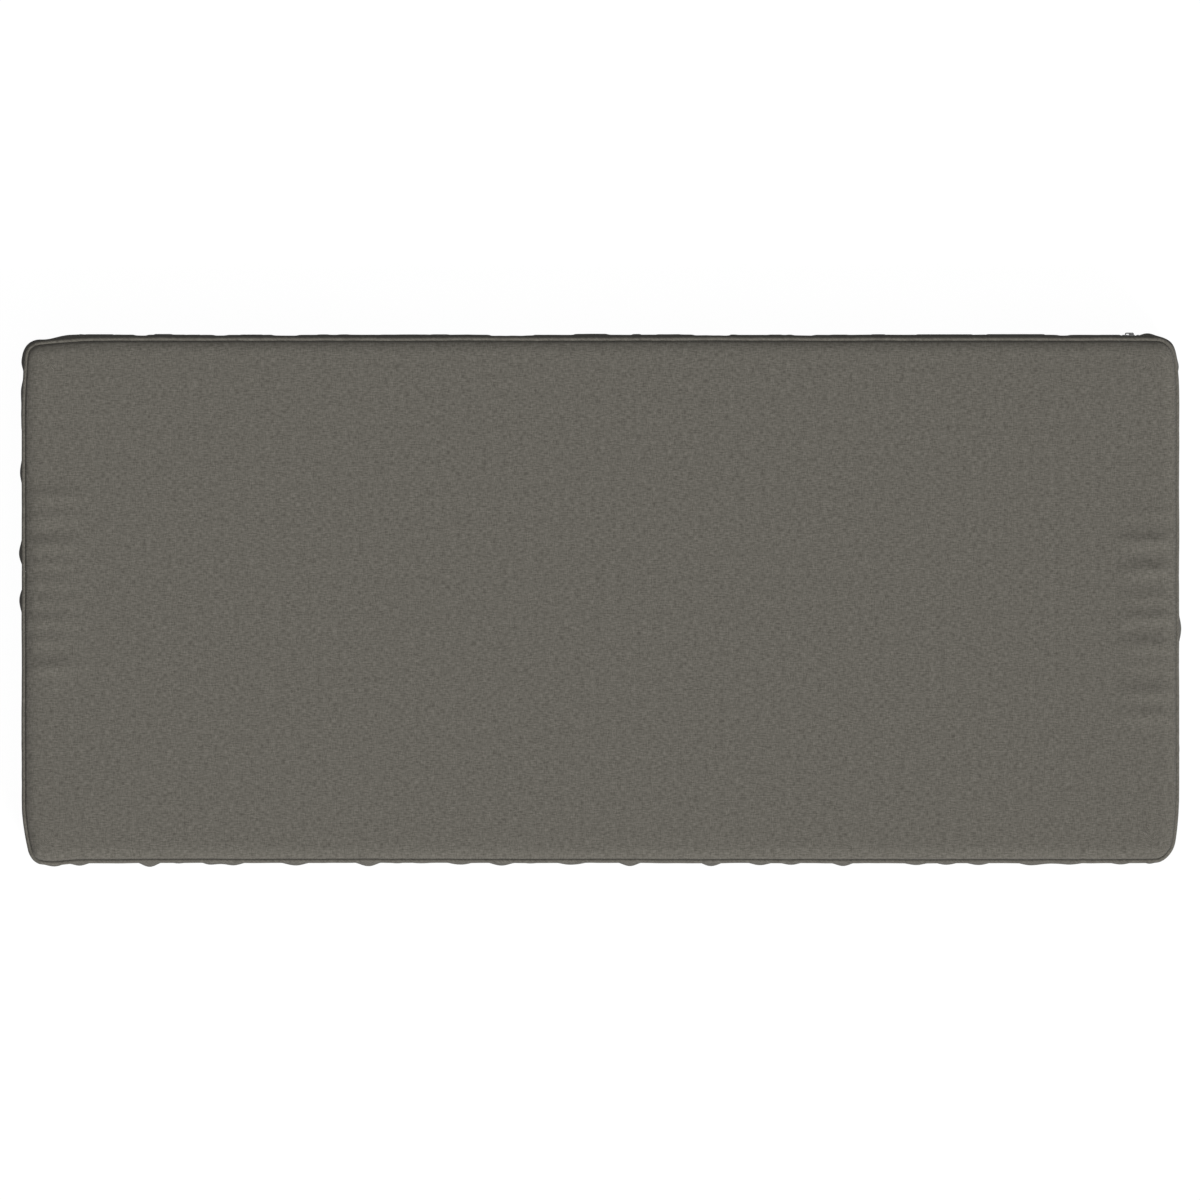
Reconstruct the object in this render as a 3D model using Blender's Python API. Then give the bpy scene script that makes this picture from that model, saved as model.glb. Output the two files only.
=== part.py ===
"""A boxed bench cushion, lying on its underside.

The filled body is one closed solid: a softly crowned top panel, a boxing band with soft upright folds, and
an underside that is flat where it rests. A piping cord lies in the seam round each panel. The back boxing
holds a long zip, with its slider parked near the right end.

Metres, +Z up. The origin is at the middle of the underside, +X runs along the bench, +Y points to the back.
"""

import math
from collections import namedtuple

import bmesh
import bpy
from mathutils import Vector

MM = 0.001

# Driving dimensions
LENGTH = 1.100  # over the piping, left to right
DEPTH = 0.500  # over the piping, front to back
THICKNESS = 0.080  # underside to the top of the crown
PIPING_RADIUS = 2.1 * MM
LOWER_SEAM = 5.5 * MM  # height of the lower piping's centre line

# The line that the piping's centre follows, before its corners are drawn in
HALF_LENGTH = LENGTH / 2 - PIPING_RADIUS
HALF_DEPTH = DEPTH / 2 - PIPING_RADIUS

# Top panel: it rolls down to the seam in a narrow strip, and is nearly level inside that
ROLL_WIDTH = 14 * MM
ROLL_RISE = 4.4 * MM
ROLL_POWER = 2.2
CROWN = 2.3 * MM
CROWN_SHOULDER = 60 * MM  # how fast the crown levels out, going inwards

# The cloth round the piping, as three places on a seat a little wider than the cord
SEAT_RADIUS = PIPING_RADIUS + 0.7 * MM
SEAT_PANEL = math.radians(20)
SEAT_BOTTOM = math.radians(-33)
SEAT_BOXING = math.radians(-80)

# Boxing band
BELLY = 0.9 * MM  # how far it stands outside the piping's centre line at half height
BOXING_ROWS = (0.84, 0.62, 0.38, 0.16)  # shares of the height between the seams
FOLD_HEIGHT_POWER = 0.6  # how squarely a fold fills the height between the seams

# Underside: from the lower seam it rolls down to the floor
UNDERSIDE_ROLL = 18 * MM
UNDERSIDE_RINGS = (7 * MM, 12 * MM, UNDERSIDE_ROLL)

# Zip in the back boxing
ZIP_LEFT = -0.492
ZIP_RIGHT = 0.514
ZIP_LIP = 3.7 * MM  # how far the cloth beside the zip stands out past the belly
ZIP_LIP_FADE = (0.490, 0.535)  # from full lip to none, measured from the middle
ZIP_CHANNEL_FLOOR = 1.1 * MM  # outside the piping's centre line
ZIP_CHANNEL_HEIGHT = 9.4 * MM
TAPE_SIZE = (0.7 * MM, 8.4 * MM)  # thickness, height
TEETH_SIZE = (1.8 * MM, 5.6 * MM)
TEETH_EASING = 0.6 * MM
SLIDER_AT = 0.5027
SLIDER_LENGTH = 12 * MM
SLIDER_WALL = 0.8 * MM
SLIDER_REACH = 0.8  # share of the teeth's thickness that its two flanges reach over
ARCH_LENGTH = 9.0 * MM
ARCH_RISE = 1.4 * MM
ARCH_WIDTH = 2.4 * MM
ARCH_WALL = 0.8 * MM
ARCH_STEPS = 8
ARCH_SHOULDER_POWER = 0.6  # below 1 makes the bow's top flatter and its feet steeper
GAP = 0.3 * MM

# How the corners are drawn in. draw_x and draw_y are how far the corner moves inwards, or outwards when
# negative. The pull fades out over reach_end along the short side and over reach_long along the long side.
# bulge is how far the boxing stands out there past its belly, within about spread of the corner.
Corner = namedtuple("Corner", "x_side y_side radius draw_x draw_y reach_end reach_long bulge spread")
CORNERS = (
    Corner(-1, -1, 10.0 * MM, 9.0 * MM, 0.0 * MM, 60 * MM, 57 * MM, 2.2 * MM, 14 * MM),
    Corner(1, -1, 17.5 * MM, 7.3 * MM, 0.3 * MM, 62 * MM, 60 * MM, 0.8 * MM, 16 * MM),
    Corner(1, 1, 17.0 * MM, 4.4 * MM, 1.1 * MM, 59 * MM, 38 * MM, 3.1 * MM, 14 * MM),
    Corner(-1, 1, 11.5 * MM, 3.8 * MM, 5.7 * MM, 76 * MM, 86 * MM, 4.4 * MM, 16 * MM),
)

# Places where the front seam bows outwards: at is the place along the seam, out is how far it bows there,
# and spread is how wide the bow is. It fades out in the panel within BOW_REACH of the seam.
Bow = namedtuple("Bow", "at out spread")
FRONT_BOWS = (
    Bow(-0.5235, 2.1 * MM, 12 * MM),
    Bow(-0.4905, 0.45 * MM, 28 * MM),
    Bow(0.300, 0.45 * MM, 120 * MM),
)
BOW_REACH = 50 * MM

# Upright folds in the boxing. at is the place along the side, rise is how far the fold reaches past the
# piping, spread is its width from crest to shoulder, and lean is how far its top is shifted along the side.
Fold = namedtuple("Fold", "at rise spread lean")
FRONT_FOLDS = (
    Fold(-0.5215, 1.3 * MM, 8.0 * MM, 2 * MM),
    Fold(-0.4955, 2.3 * MM, 6.8 * MM, 6 * MM),
    Fold(-0.429, 4.1 * MM, 6.2 * MM, -4 * MM),
    Fold(-0.401, 1.2 * MM, 7.0 * MM, 7 * MM),
    Fold(-0.371, 2.5 * MM, 7.0 * MM, 6 * MM),
    Fold(-0.3495, 2.65 * MM, 7.4 * MM, -6 * MM),
    Fold(-0.2905, 2.75 * MM, 9.6 * MM, 9 * MM),
    Fold(-0.221, 3.2 * MM, 7.0 * MM, -10 * MM),
    Fold(-0.193, 0.4 * MM, 6.0 * MM, 3 * MM),
    Fold(-0.173, 0.8 * MM, 9.0 * MM, 7 * MM),
    Fold(-0.133, 1.5 * MM, 9.5 * MM, -8 * MM),
    Fold(-0.0945, 3.15 * MM, 8.3 * MM, 6 * MM),
    Fold(-0.067, 0.5 * MM, 8.0 * MM, -5 * MM),
    Fold(-0.029, 2.1 * MM, 10.0 * MM, 8 * MM),
    Fold(0.028, 3.75 * MM, 6.8 * MM, -5 * MM),
    Fold(0.105, 3.2 * MM, 6.3 * MM, 8 * MM),
    Fold(0.1515, 2.25 * MM, 7.6 * MM, -6 * MM),
    Fold(0.1815, 1.7 * MM, 7.6 * MM, 5 * MM),
    Fold(0.2305, 3.1 * MM, 6.5 * MM, -7 * MM),
    Fold(0.301, 1.6 * MM, 7.2 * MM, 8 * MM),
    Fold(0.3305, 2.35 * MM, 7.8 * MM, -3 * MM),
    Fold(0.359, 2.05 * MM, 8.0 * MM, 8 * MM),
    Fold(0.408, 2.5 * MM, 8.6 * MM, -9 * MM),
    Fold(0.429, 0.6 * MM, 8.0 * MM, 2 * MM),
    Fold(0.448, 1.55 * MM, 8.5 * MM, 6 * MM),
    Fold(0.496, 1.45 * MM, 7.6 * MM, -6 * MM),
    Fold(0.5245, 0.85 * MM, 4.5 * MM, 3 * MM),
)
LEFT_FOLDS = (
    Fold(0.228, 1.3 * MM, 6.0 * MM, 2 * MM),
    Fold(0.200, 1.75 * MM, 9.0 * MM, 3 * MM),
    Fold(0.173, 1.1 * MM, 17.0 * MM, -4 * MM),
    Fold(0.1225, 2.15 * MM, 9.5 * MM, -7 * MM),
    Fold(0.045, 3.25 * MM, 8.6 * MM, 5 * MM),
    Fold(0.0005, 3.35 * MM, 9.0 * MM, -4 * MM),
    Fold(-0.072, -0.6 * MM, 11.0 * MM, 8 * MM),
    Fold(-0.133, 0.85 * MM, 20.0 * MM, -9 * MM),
)
RIGHT_FOLDS = (
    Fold(0.222, 1.2 * MM, 5.0 * MM, 2 * MM),
    Fold(0.150, 1.0 * MM, 26.0 * MM, 8 * MM),
    Fold(0.074, -0.4 * MM, 10.0 * MM, -8 * MM),
    Fold(-0.027, 3.1 * MM, 10.5 * MM, 4 * MM),
    Fold(-0.147, 0.8 * MM, 18.0 * MM, 7 * MM),
    Fold(-0.205, -0.4 * MM, 10.0 * MM, -6 * MM),
)
# At the back, rise is how far a fold reaches past the lips of the zip
BACK_FOLDS = (
    Fold(-0.512, 2.3 * MM, 10.0 * MM, 3 * MM),
    Fold(-0.487, 0.8 * MM, 15.0 * MM, -4 * MM),
    Fold(0.5215, 4.0 * MM, 6.5 * MM, 2 * MM),
)

# Short creases that run inwards from the middle of both end seams, from the back one to the front one
Pucker = namedtuple("Pucker", "left_at left_height right_at right_height")
PUCKERS = (
    Pucker(98.3 * MM, 0.9 * MM, 82.2 * MM, 0.6 * MM),
    Pucker(78.8 * MM, 0.9 * MM, 55.5 * MM, 1.9 * MM),
    Pucker(52.2 * MM, 1.3 * MM, 28.0 * MM, 2.0 * MM),
    Pucker(34.6 * MM, 0.8 * MM, 2.3 * MM, 1.0 * MM),
    Pucker(16.5 * MM, 0.9 * MM, -17.2 * MM, 1.5 * MM),
    Pucker(-1.5 * MM, 0.8 * MM, -42.9 * MM, 1.6 * MM),
    Pucker(-19.1 * MM, 1.0 * MM, -61.4 * MM, 0.6 * MM),
    Pucker(-37.7 * MM, 0.7 * MM, -88.5 * MM, 1.3 * MM),
    Pucker(-64.3 * MM, 1.4 * MM, -109.5 * MM, 1.0 * MM),
)
PUCKER_SPREAD = 5.0 * MM
PUCKER_FULL = (12 * MM, 32 * MM)  # from the seam: where a crease has its full height
PUCKER_END = 60 * MM

# Where the body's mesh is fine and where it is coarse
EDGE_LINES = (0, 6 * MM, 10 * MM, 15 * MM, 23 * MM)
END_LINES = (34 * MM, 48 * MM, 62 * MM, 90 * MM)
LONG_LINES = (40 * MM, 56 * MM, 74 * MM)
MIDDLE_COLUMNS = 8
FRONT_STEP = 7 * MM
SIDE_STEP = 13 * MM
SEAM_PROBE = 1 * MM  # how far to each side the seam's direction is felt for
SMOOTH_BELOW = math.radians(40)

# Colours as a render engine takes them
CLOTH = (0.138, 0.130, 0.112, 1)
CORD = (0.150, 0.141, 0.122, 1)
TAPE = (0.012, 0.012, 0.013, 1)
TEETH = (0.018, 0.018, 0.019, 1)
GUNMETAL = (0.20, 0.20, 0.20, 1)

UPPER_SEAM = THICKNESS - SEAT_RADIUS * math.sin(SEAT_PANEL) - ROLL_RISE - CROWN
ZIP_AT_HEIGHT = (LOWER_SEAM + UPPER_SEAM) / 2


def smooth(share):
    """0 below 0, 1 above 1, and an even S between them."""
    share = min(1.0, max(0.0, share))
    return share * share * (3 - 2 * share)


def bell(distance, spread):
    return math.exp(-0.5 * (distance / spread) ** 2)


def corner_of(x, y):
    """The corner whose rounding holds this place, or None."""
    for corner in CORNERS:
        past_end = x * corner.x_side - (HALF_LENGTH - corner.radius)
        past_long = y * corner.y_side - (HALF_DEPTH - corner.radius)
        if past_end > 0 and past_long > 0:
            return corner, past_end, past_long
    return None


def rounded(x, y):
    """A place in the plain rectangle, moved to its place in the rectangle with rounded corners."""
    found = corner_of(x, y)
    if not found:
        return x, y
    corner, past_end, past_long = found
    shrink = max(past_end, past_long) / math.hypot(past_end, past_long)
    x -= corner.x_side * past_end * (1 - shrink)
    y -= corner.y_side * past_long * (1 - shrink)
    return x, y


def outward(x, y):
    """The direction out of the cushion, seen from above, at a place on the plain rectangle's border."""
    found = corner_of(x, y)
    if found:
        corner, past_end, past_long = found
        length = math.hypot(past_end, past_long)
        return corner.x_side * past_end / length, corner.y_side * past_long / length
    if HALF_LENGTH - abs(x) < HALF_DEPTH - abs(y):
        return math.copysign(1, x), 0.0
    return 0.0, math.copysign(1, y)


def drawn_in(x, y):
    """The same place once the corners are pulled in by their seams, and the front seam bows out."""
    move_x = 0.0
    move_y = 0.0
    for corner in CORNERS:
        from_end = max(0.0, HALF_LENGTH - corner.x_side * x)
        from_long = max(0.0, HALF_DEPTH - corner.y_side * y)
        near_end = max(0.0, 1 - from_end / corner.reach_long)
        near_long = max(0.0, 1 - from_long / corner.reach_end)
        pull = (near_end * near_long) ** 2
        move_x -= corner.x_side * corner.draw_x * pull
        move_y -= corner.y_side * corner.draw_y * pull
    near_front = max(0.0, 1 - (HALF_DEPTH + y) / BOW_REACH) ** 2
    move_y -= near_front * sum(bow.out * bell(x - bow.at, bow.spread) for bow in FRONT_BOWS)
    return x + move_x, y + move_y


def beside_seam(x, y, offset):
    """A border place on the drawn-in seam, moved squarely outwards by offset."""
    normal_x, normal_y = outward(x, y)
    x, y = rounded(x, y)
    step_x, step_y = -normal_y * SEAM_PROBE, normal_x * SEAM_PROBE
    ahead = Vector(drawn_in(x + step_x, y + step_y))
    behind = Vector(drawn_in(x - step_x, y - step_y))
    along = (ahead - behind).normalized()
    x, y = drawn_in(x, y)
    return x + along.y * offset, y - along.x * offset


def inside_seam(x, y, inset):
    """A border place, moved inwards by inset."""
    x, y = rounded(x, y)
    return drawn_in(x * (1 - inset / HALF_LENGTH), y * (1 - inset / HALF_DEPTH))


def pucker_height(x, y, from_seam):
    """How far the end creases lift the top panel here."""
    full_from, full_to = PUCKER_FULL
    reach = smooth(from_seam / full_from) * smooth((PUCKER_END - from_seam) / (PUCKER_END - full_to))
    if x < 0:
        return reach * sum(p.left_height * bell(y - p.left_at, PUCKER_SPREAD) for p in PUCKERS)
    return reach * sum(p.right_height * bell(y - p.right_at, PUCKER_SPREAD) for p in PUCKERS)


def panel_height(x, y):
    """The top panel's height above the place where it meets the seam."""
    from_end = HALF_LENGTH - abs(x)
    from_seam = min(from_end, HALF_DEPTH - abs(y))
    roll = 1 - max(0.0, 1 - from_seam / ROLL_WIDTH) ** ROLL_POWER
    crown = 1 - math.exp(-from_seam / CROWN_SHOULDER)
    return ROLL_RISE * roll + CROWN * crown + pucker_height(x, y, from_end)


def fold_offset(folds, along, share, start=PIPING_RADIUS - BELLY):
    """How far a side's upright folds push the boxing out, at this share of its height. Their rise counts
    from start."""
    total = 0.0
    for fold in folds:
        crest = fold.at + fold.lean * (share - 0.5)
        total += (fold.rise + start) * bell(along - crest, fold.spread)
    return total


def boxing_offset(x, y, share):
    """How far the boxing stands outside the piping's centre line, at this share of its height."""
    normal_x, normal_y = outward(x, y)
    out = BELLY
    out += max(0.0, -normal_y) ** 2 * fold_offset(FRONT_FOLDS, x, share)
    out += max(0.0, -normal_x) ** 2 * fold_offset(LEFT_FOLDS, y, share)
    out += max(0.0, normal_x) ** 2 * fold_offset(RIGHT_FOLDS, y, share)
    full_to, none_from = ZIP_LIP_FADE
    lip = ZIP_LIP * smooth((none_from - abs(x)) / (none_from - full_to))
    out += max(0.0, normal_y) ** 2 * (lip + fold_offset(BACK_FOLDS, x, share, start=0.0))
    for corner in CORNERS:
        away = math.hypot(HALF_LENGTH - corner.x_side * x, HALF_DEPTH - corner.y_side * y)
        out += corner.bulge * bell(away, corner.spread)
    return out * (4 * share * (1 - share)) ** FOLD_HEIGHT_POWER


def lines_between(insets, half, middle):
    """Grid lines from -half to half: the insets at both ends, with the middle lines between them."""
    low = [-half + inset for inset in insets]
    high = [half - inset for inset in reversed(insets)]
    return low + list(middle) + high


def even_steps(low, high, steps):
    """The places between low and high that part the stretch evenly."""
    return [low + (high - low) * i / steps for i in range(1, steps)]


def crease_lines(places):
    """The creases' crests and the troughs beside them, from the front to the back."""
    crests = sorted(places)
    first_gap = crests[1] - crests[0]
    last_gap = crests[-1] - crests[-2]
    lines = [crests[0] - first_gap / 2]
    for crest, following in zip(crests, crests[1:]):
        lines += [crest, (crest + following) / 2]
    return lines + [crests[-1], crests[-1] + last_gap / 2]


def panel_grid(bm, flat):
    """A flat grid over the top panel, with lines along the creases. Each point keeps its place in flat."""
    end_insets = EDGE_LINES + END_LINES
    reach = HALF_LENGTH - end_insets[-1]
    columns = lines_between(end_insets, HALF_LENGTH, even_steps(-reach, reach, MIDDLE_COLUMNS))
    long_insets = EDGE_LINES + LONG_LINES
    left_creases = crease_lines(p.left_at for p in PUCKERS)
    left_rows = lines_between(long_insets, HALF_DEPTH, left_creases)
    right_creases = crease_lines(p.right_at for p in PUCKERS)
    right_rows = lines_between(long_insets, HALF_DEPTH, right_creases)
    across = len(columns) - 1
    deep = len(left_rows) - 1
    bmesh.ops.create_grid(bm, x_segments=across, y_segments=deep, size=1)
    for vert in bm.verts:
        column = round((vert.co.x + 1) / 2 * across)
        row = round((vert.co.y + 1) / 2 * deep)
        x = columns[column]
        share = (x + HALF_LENGTH) / (2 * HALF_LENGTH)
        vert[flat] = (x, left_rows[row] * (1 - share) + right_rows[row] * share, 0)


def split_border(bm, flat):
    """Adds points to the grid's border, closer together on the front, where the boxing has most folds."""
    for edge in [e for e in bm.edges if e.is_boundary]:
        start, end = (Vector(v[flat]) for v in edge.verts)
        on_front = start.y == end.y == -HALF_DEPTH
        cuts = math.ceil((end - start).length / (FRONT_STEP if on_front else SIDE_STEP)) - 1
        if cuts:
            bmesh.ops.subdivide_edges(bm, edges=[edge], cuts=cuts)


def place_panel(bm, flat):
    seat_in = SEAT_RADIUS * math.cos(SEAT_PANEL)
    seat_up = UPPER_SEAM + SEAT_RADIUS * math.sin(SEAT_PANEL)
    for vert in bm.verts:
        x, y, _ = vert[flat]
        if vert.is_boundary:
            vert.co = (*beside_seam(x, y, -seat_in), seat_up)
        else:
            vert.co = (*drawn_in(*rounded(x, y)), seat_up + panel_height(x, y))


def add_ring(bm, flat, ring, place):
    """Extrudes the ring of edges, and puts each new point where place says for its flat place."""
    made = bmesh.ops.extrude_edge_only(bm, edges=ring)["geom"]
    for vert in made:
        if isinstance(vert, bmesh.types.BMVert):
            x, y, _ = vert[flat]
            vert.co = place(x, y)
    return [e for e in made if isinstance(e, bmesh.types.BMEdge) and e.is_boundary]


def seat_ring(angle, seam, up):
    """A ring on the seat round a piping: up is 1 at the upper seam, and -1 mirrors it at the lower one."""

    def place(x, y):
        height = seam + up * SEAT_RADIUS * math.sin(angle)
        return (*beside_seam(x, y, -SEAT_RADIUS * math.cos(angle)), height)

    return place


def boxing_ring(share):
    def place(x, y):
        low = LOWER_SEAM + SEAT_RADIUS
        high = UPPER_SEAM - SEAT_RADIUS
        return (*beside_seam(x, y, boxing_offset(x, y, share)), low + (high - low) * share)

    return place


def underside_ring(inset):
    start = SEAT_RADIUS * math.cos(SEAT_PANEL)
    drop = LOWER_SEAM - SEAT_RADIUS * math.sin(SEAT_PANEL)

    def place(x, y):
        share = (inset - start) / (UNDERSIDE_ROLL - start)
        return (*inside_seam(x, y, inset), drop * (1 - share) ** ROLL_POWER)

    return place


def cushion_body():
    """The filled body: the top panel's grid, rings down over the boxing, and the underside."""
    bm = bmesh.new()
    flat = bm.verts.layers.float_vector.new("flat")
    panel_grid(bm, flat)
    for vert in bm.verts:
        vert.co = vert[flat]
    split_border(bm, flat)
    for vert in bm.verts:
        vert[flat] = vert.co
    place_panel(bm, flat)
    ring = [e for e in bm.edges if e.is_boundary]
    places = [seat_ring(SEAT_BOTTOM, UPPER_SEAM, 1), seat_ring(SEAT_BOXING, UPPER_SEAM, 1)]
    places += [boxing_ring(share) for share in BOXING_ROWS]
    for angle in (SEAT_BOXING, SEAT_BOTTOM, SEAT_PANEL):
        places.append(seat_ring(angle, LOWER_SEAM, -1))
    places += [underside_ring(inset) for inset in UNDERSIDE_RINGS]
    for place in places:
        ring = add_ring(bm, flat, ring, place)
    bmesh.ops.edgeloop_fill(bm, edges=ring)
    bmesh.ops.recalc_face_normals(bm, faces=bm.faces)
    return bm


def border_places():
    """The points that the piping follows: close together in the corners, far apart on the straight sides."""
    bm = bmesh.new()
    flat = bm.verts.layers.float_vector.new("flat")
    panel_grid(bm, flat)
    start = next(v for v in bm.verts if Vector(v[flat]).xy == Vector((-HALF_LENGTH, -HALF_DEPTH)))
    places = []
    vert, came_by = start, None
    while vert != start or not places:
        places.append(tuple(vert[flat].xy))
        came_by = next(e for e in vert.link_edges if e.is_boundary and e != came_by)
        vert = came_by.other_vert(vert)
    bm.free()
    return places


def material(name, colour, roughness, metallic=0.0):
    made = bpy.data.materials.new(name)
    made.use_nodes = True
    shader = made.node_tree.nodes["Principled BSDF"]
    shader.inputs["Base Color"].default_value = colour
    shader.inputs["Roughness"].default_value = roughness
    shader.inputs["Metallic"].default_value = metallic
    made.diffuse_color = colour
    return made


def add_object(name, data, finish):
    obj = bpy.data.objects.new(name, data)
    bpy.context.scene.collection.objects.link(obj)
    data.materials.append(finish)
    return obj


def add_body(name, bm, finish):
    mesh = bpy.data.meshes.new(name)
    bm.to_mesh(mesh)
    bm.free()
    mesh.shade_smooth()
    mesh.set_sharp_from_angle(angle=SMOOTH_BELOW)
    return add_object(name, mesh, finish)


def add_piping(name, height, finish):
    """A closed ring of cloth-covered cord along the seam."""
    curve = bpy.data.curves.new(name, "CURVE")
    curve.dimensions = "3D"
    curve.twist_mode = "Z_UP"
    curve.bevel_depth = PIPING_RADIUS
    curve.bevel_resolution = 2
    curve.use_fill_caps = True
    places = border_places()
    spline = curve.splines.new("POLY")
    spline.points.add(len(places) - 1)
    for point, (x, y) in zip(spline.points, places):
        point.co = (*beside_seam(x, y, 0), height, 1)
    spline.use_cyclic_u = True
    spline.use_smooth = True
    return add_object(name, curve, finish)


def block(low, high, bevel=0.0):
    """A box between two corners, with its long edges eased when bevel is given."""
    bm = bmesh.new()
    bmesh.ops.create_cube(bm, size=1)
    low, high = Vector(low), Vector(high)
    for vert in bm.verts:
        vert.co = (low + high) / 2 + vert.co * (high - low)
    if bevel:
        eased = [e for e in bm.edges if abs((e.verts[0].co - e.verts[1].co).x) > bevel]
        bmesh.ops.bevel(bm, geom=eased, offset=bevel, segments=2, affect="EDGES", profile=0.5)
    return bm


def zip_block(x_low, x_high, inner, size, bevel=0.0):
    """A strip along the back boxing: inner is its distance outside the piping's centre line."""
    thickness, height = size
    near = HALF_DEPTH + inner
    return block(
        (x_low, near, ZIP_AT_HEIGHT - height / 2),
        (x_high, near + thickness, ZIP_AT_HEIGHT + height / 2),
        bevel,
    )


def cut_zip_channel(cushion):
    """Sinks the channel for the zip's tape and teeth between the two lips of the back boxing."""
    past_the_lips = 2 * (BELLY + ZIP_LIP)
    size = (past_the_lips, ZIP_CHANNEL_HEIGHT)
    bm = zip_block(ZIP_LEFT - GAP, ZIP_RIGHT + GAP, ZIP_CHANNEL_FLOOR, size)
    cutter = add_body("zip_channel_cutter", bm, cushion.data.materials[0])
    cutter.hide_render = True
    cutter.display_type = "WIRE"
    channel = cushion.modifiers.new("zip_channel", "BOOLEAN")
    channel.operation = "DIFFERENCE"
    channel.object = cutter


def prism(outline, low, high, along):
    """Extrudes an outline of two numbers a point. along is the axis of the extrusion, X or Z."""
    bm = bmesh.new()
    if along == "X":
        verts = [bm.verts.new((low, a, b)) for a, b in outline]
        step = (high - low, 0, 0)
    else:
        verts = [bm.verts.new((a, b, low)) for a, b in outline]
        step = (0, 0, high - low)
    face = bm.faces.new(verts)
    made = bmesh.ops.extrude_face_region(bm, geom=[face], use_keep_orig=True)["geom"]
    bmesh.ops.translate(bm, verts=[v for v in made if isinstance(v, bmesh.types.BMVert)], vec=step)
    bmesh.ops.recalc_face_normals(bm, faces=bm.faces)
    return bm


def bow(near, inset):
    """One side of the slider's arch seen from above, inset from its outer side."""
    points = []
    for i in range(ARCH_STEPS + 1):
        angle = math.pi * i / ARCH_STEPS
        along = (ARCH_LENGTH / 2 - inset) * math.cos(angle)
        out = (ARCH_RISE - inset) * math.sin(angle) ** ARCH_SHOULDER_POWER
        points.append((SLIDER_AT + along, near + out))
    return points


def zip_slider_parts():
    """The slider's channel-shaped body, which runs over the teeth, and the arch on top of it."""
    teeth_out = ZIP_CHANNEL_FLOOR + GAP + TAPE_SIZE[0] + GAP + TEETH_SIZE[0]
    inner = HALF_DEPTH + teeth_out + GAP
    outer = inner + SLIDER_WALL
    foot = inner - TEETH_SIZE[0] * SLIDER_REACH
    half_in = TEETH_SIZE[1] / 2 + GAP
    half_out = half_in + SLIDER_WALL
    section = [
        (foot, -half_out),
        (outer - SLIDER_WALL / 2, -half_out),
        (outer, -half_out + SLIDER_WALL / 2),
        (outer, half_out - SLIDER_WALL / 2),
        (outer - SLIDER_WALL / 2, half_out),
        (foot, half_out),
        (foot, half_in),
        (inner, half_in),
        (inner, -half_in),
        (foot, -half_in),
    ]
    raised = [(y, ZIP_AT_HEIGHT + z) for y, z in section]
    half = SLIDER_LENGTH / 2
    body = prism(raised, SLIDER_AT - half, SLIDER_AT + half, "X")
    near = outer - SLIDER_WALL / 4
    arch_ring = bow(near, 0) + bow(near, ARCH_WALL)[::-1]
    arch = prism(arch_ring, ZIP_AT_HEIGHT - ARCH_WIDTH / 2, ZIP_AT_HEIGHT + ARCH_WIDTH / 2, "Z")
    return body, arch


def add_zip():
    tape_finish = material("zip_tape_finish", TAPE, 0.9)
    teeth_finish = material("zip_teeth_finish", TEETH, 0.5)
    slider_finish = material("zip_slider_finish", GUNMETAL, 0.35, 1.0)
    tape_at = ZIP_CHANNEL_FLOOR + GAP
    teeth_at = tape_at + TAPE_SIZE[0] + GAP
    add_body("zip_tape", zip_block(ZIP_LEFT, ZIP_RIGHT, tape_at, TAPE_SIZE), tape_finish)
    teeth = zip_block(ZIP_LEFT, ZIP_RIGHT, teeth_at, TEETH_SIZE, TEETH_EASING)
    add_body("zip_teeth", teeth, teeth_finish)
    body, arch = zip_slider_parts()
    slider = add_body("zip_slider", body, slider_finish)
    loop = add_body("zip_slider_arch", arch, slider_finish)
    loop.hide_render = True
    loop.display_type = "WIRE"
    joined = slider.modifiers.new("arch", "BOOLEAN")
    joined.operation = "UNION"
    joined.object = loop


def clear_scene():
    for obj in list(bpy.data.objects):
        bpy.data.objects.remove(obj, do_unlink=True)


def main():
    clear_scene()
    cloth = material("cover_cloth", CLOTH, 0.95)
    cord = material("piping_cloth", CORD, 0.95)
    cushion = add_body("cushion", cushion_body(), cloth)
    cut_zip_channel(cushion)
    add_piping("piping_top", UPPER_SEAM, cord)
    add_piping("piping_bottom", LOWER_SEAM, cord)
    add_zip()


main()
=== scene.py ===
"""The looks of a boxed bench cushion: its woven cover, piping, zip and topstitching, in a plain studio.

The cover is a filled form with a softly crowned panel and boxing in uneven folds. It follows the same few
sizes and tables as the solids that it dresses, with finer ripples, seam puckers and a weave on top.

Metres, +Z up. The origin is at the middle of the underside, +X runs along the bench, +Y points to the back.
"""

import math
from collections import namedtuple
from contextlib import contextmanager
from functools import partial

import bpy
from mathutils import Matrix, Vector, noise
from mathutils.bvhtree import BVHTree


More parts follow.
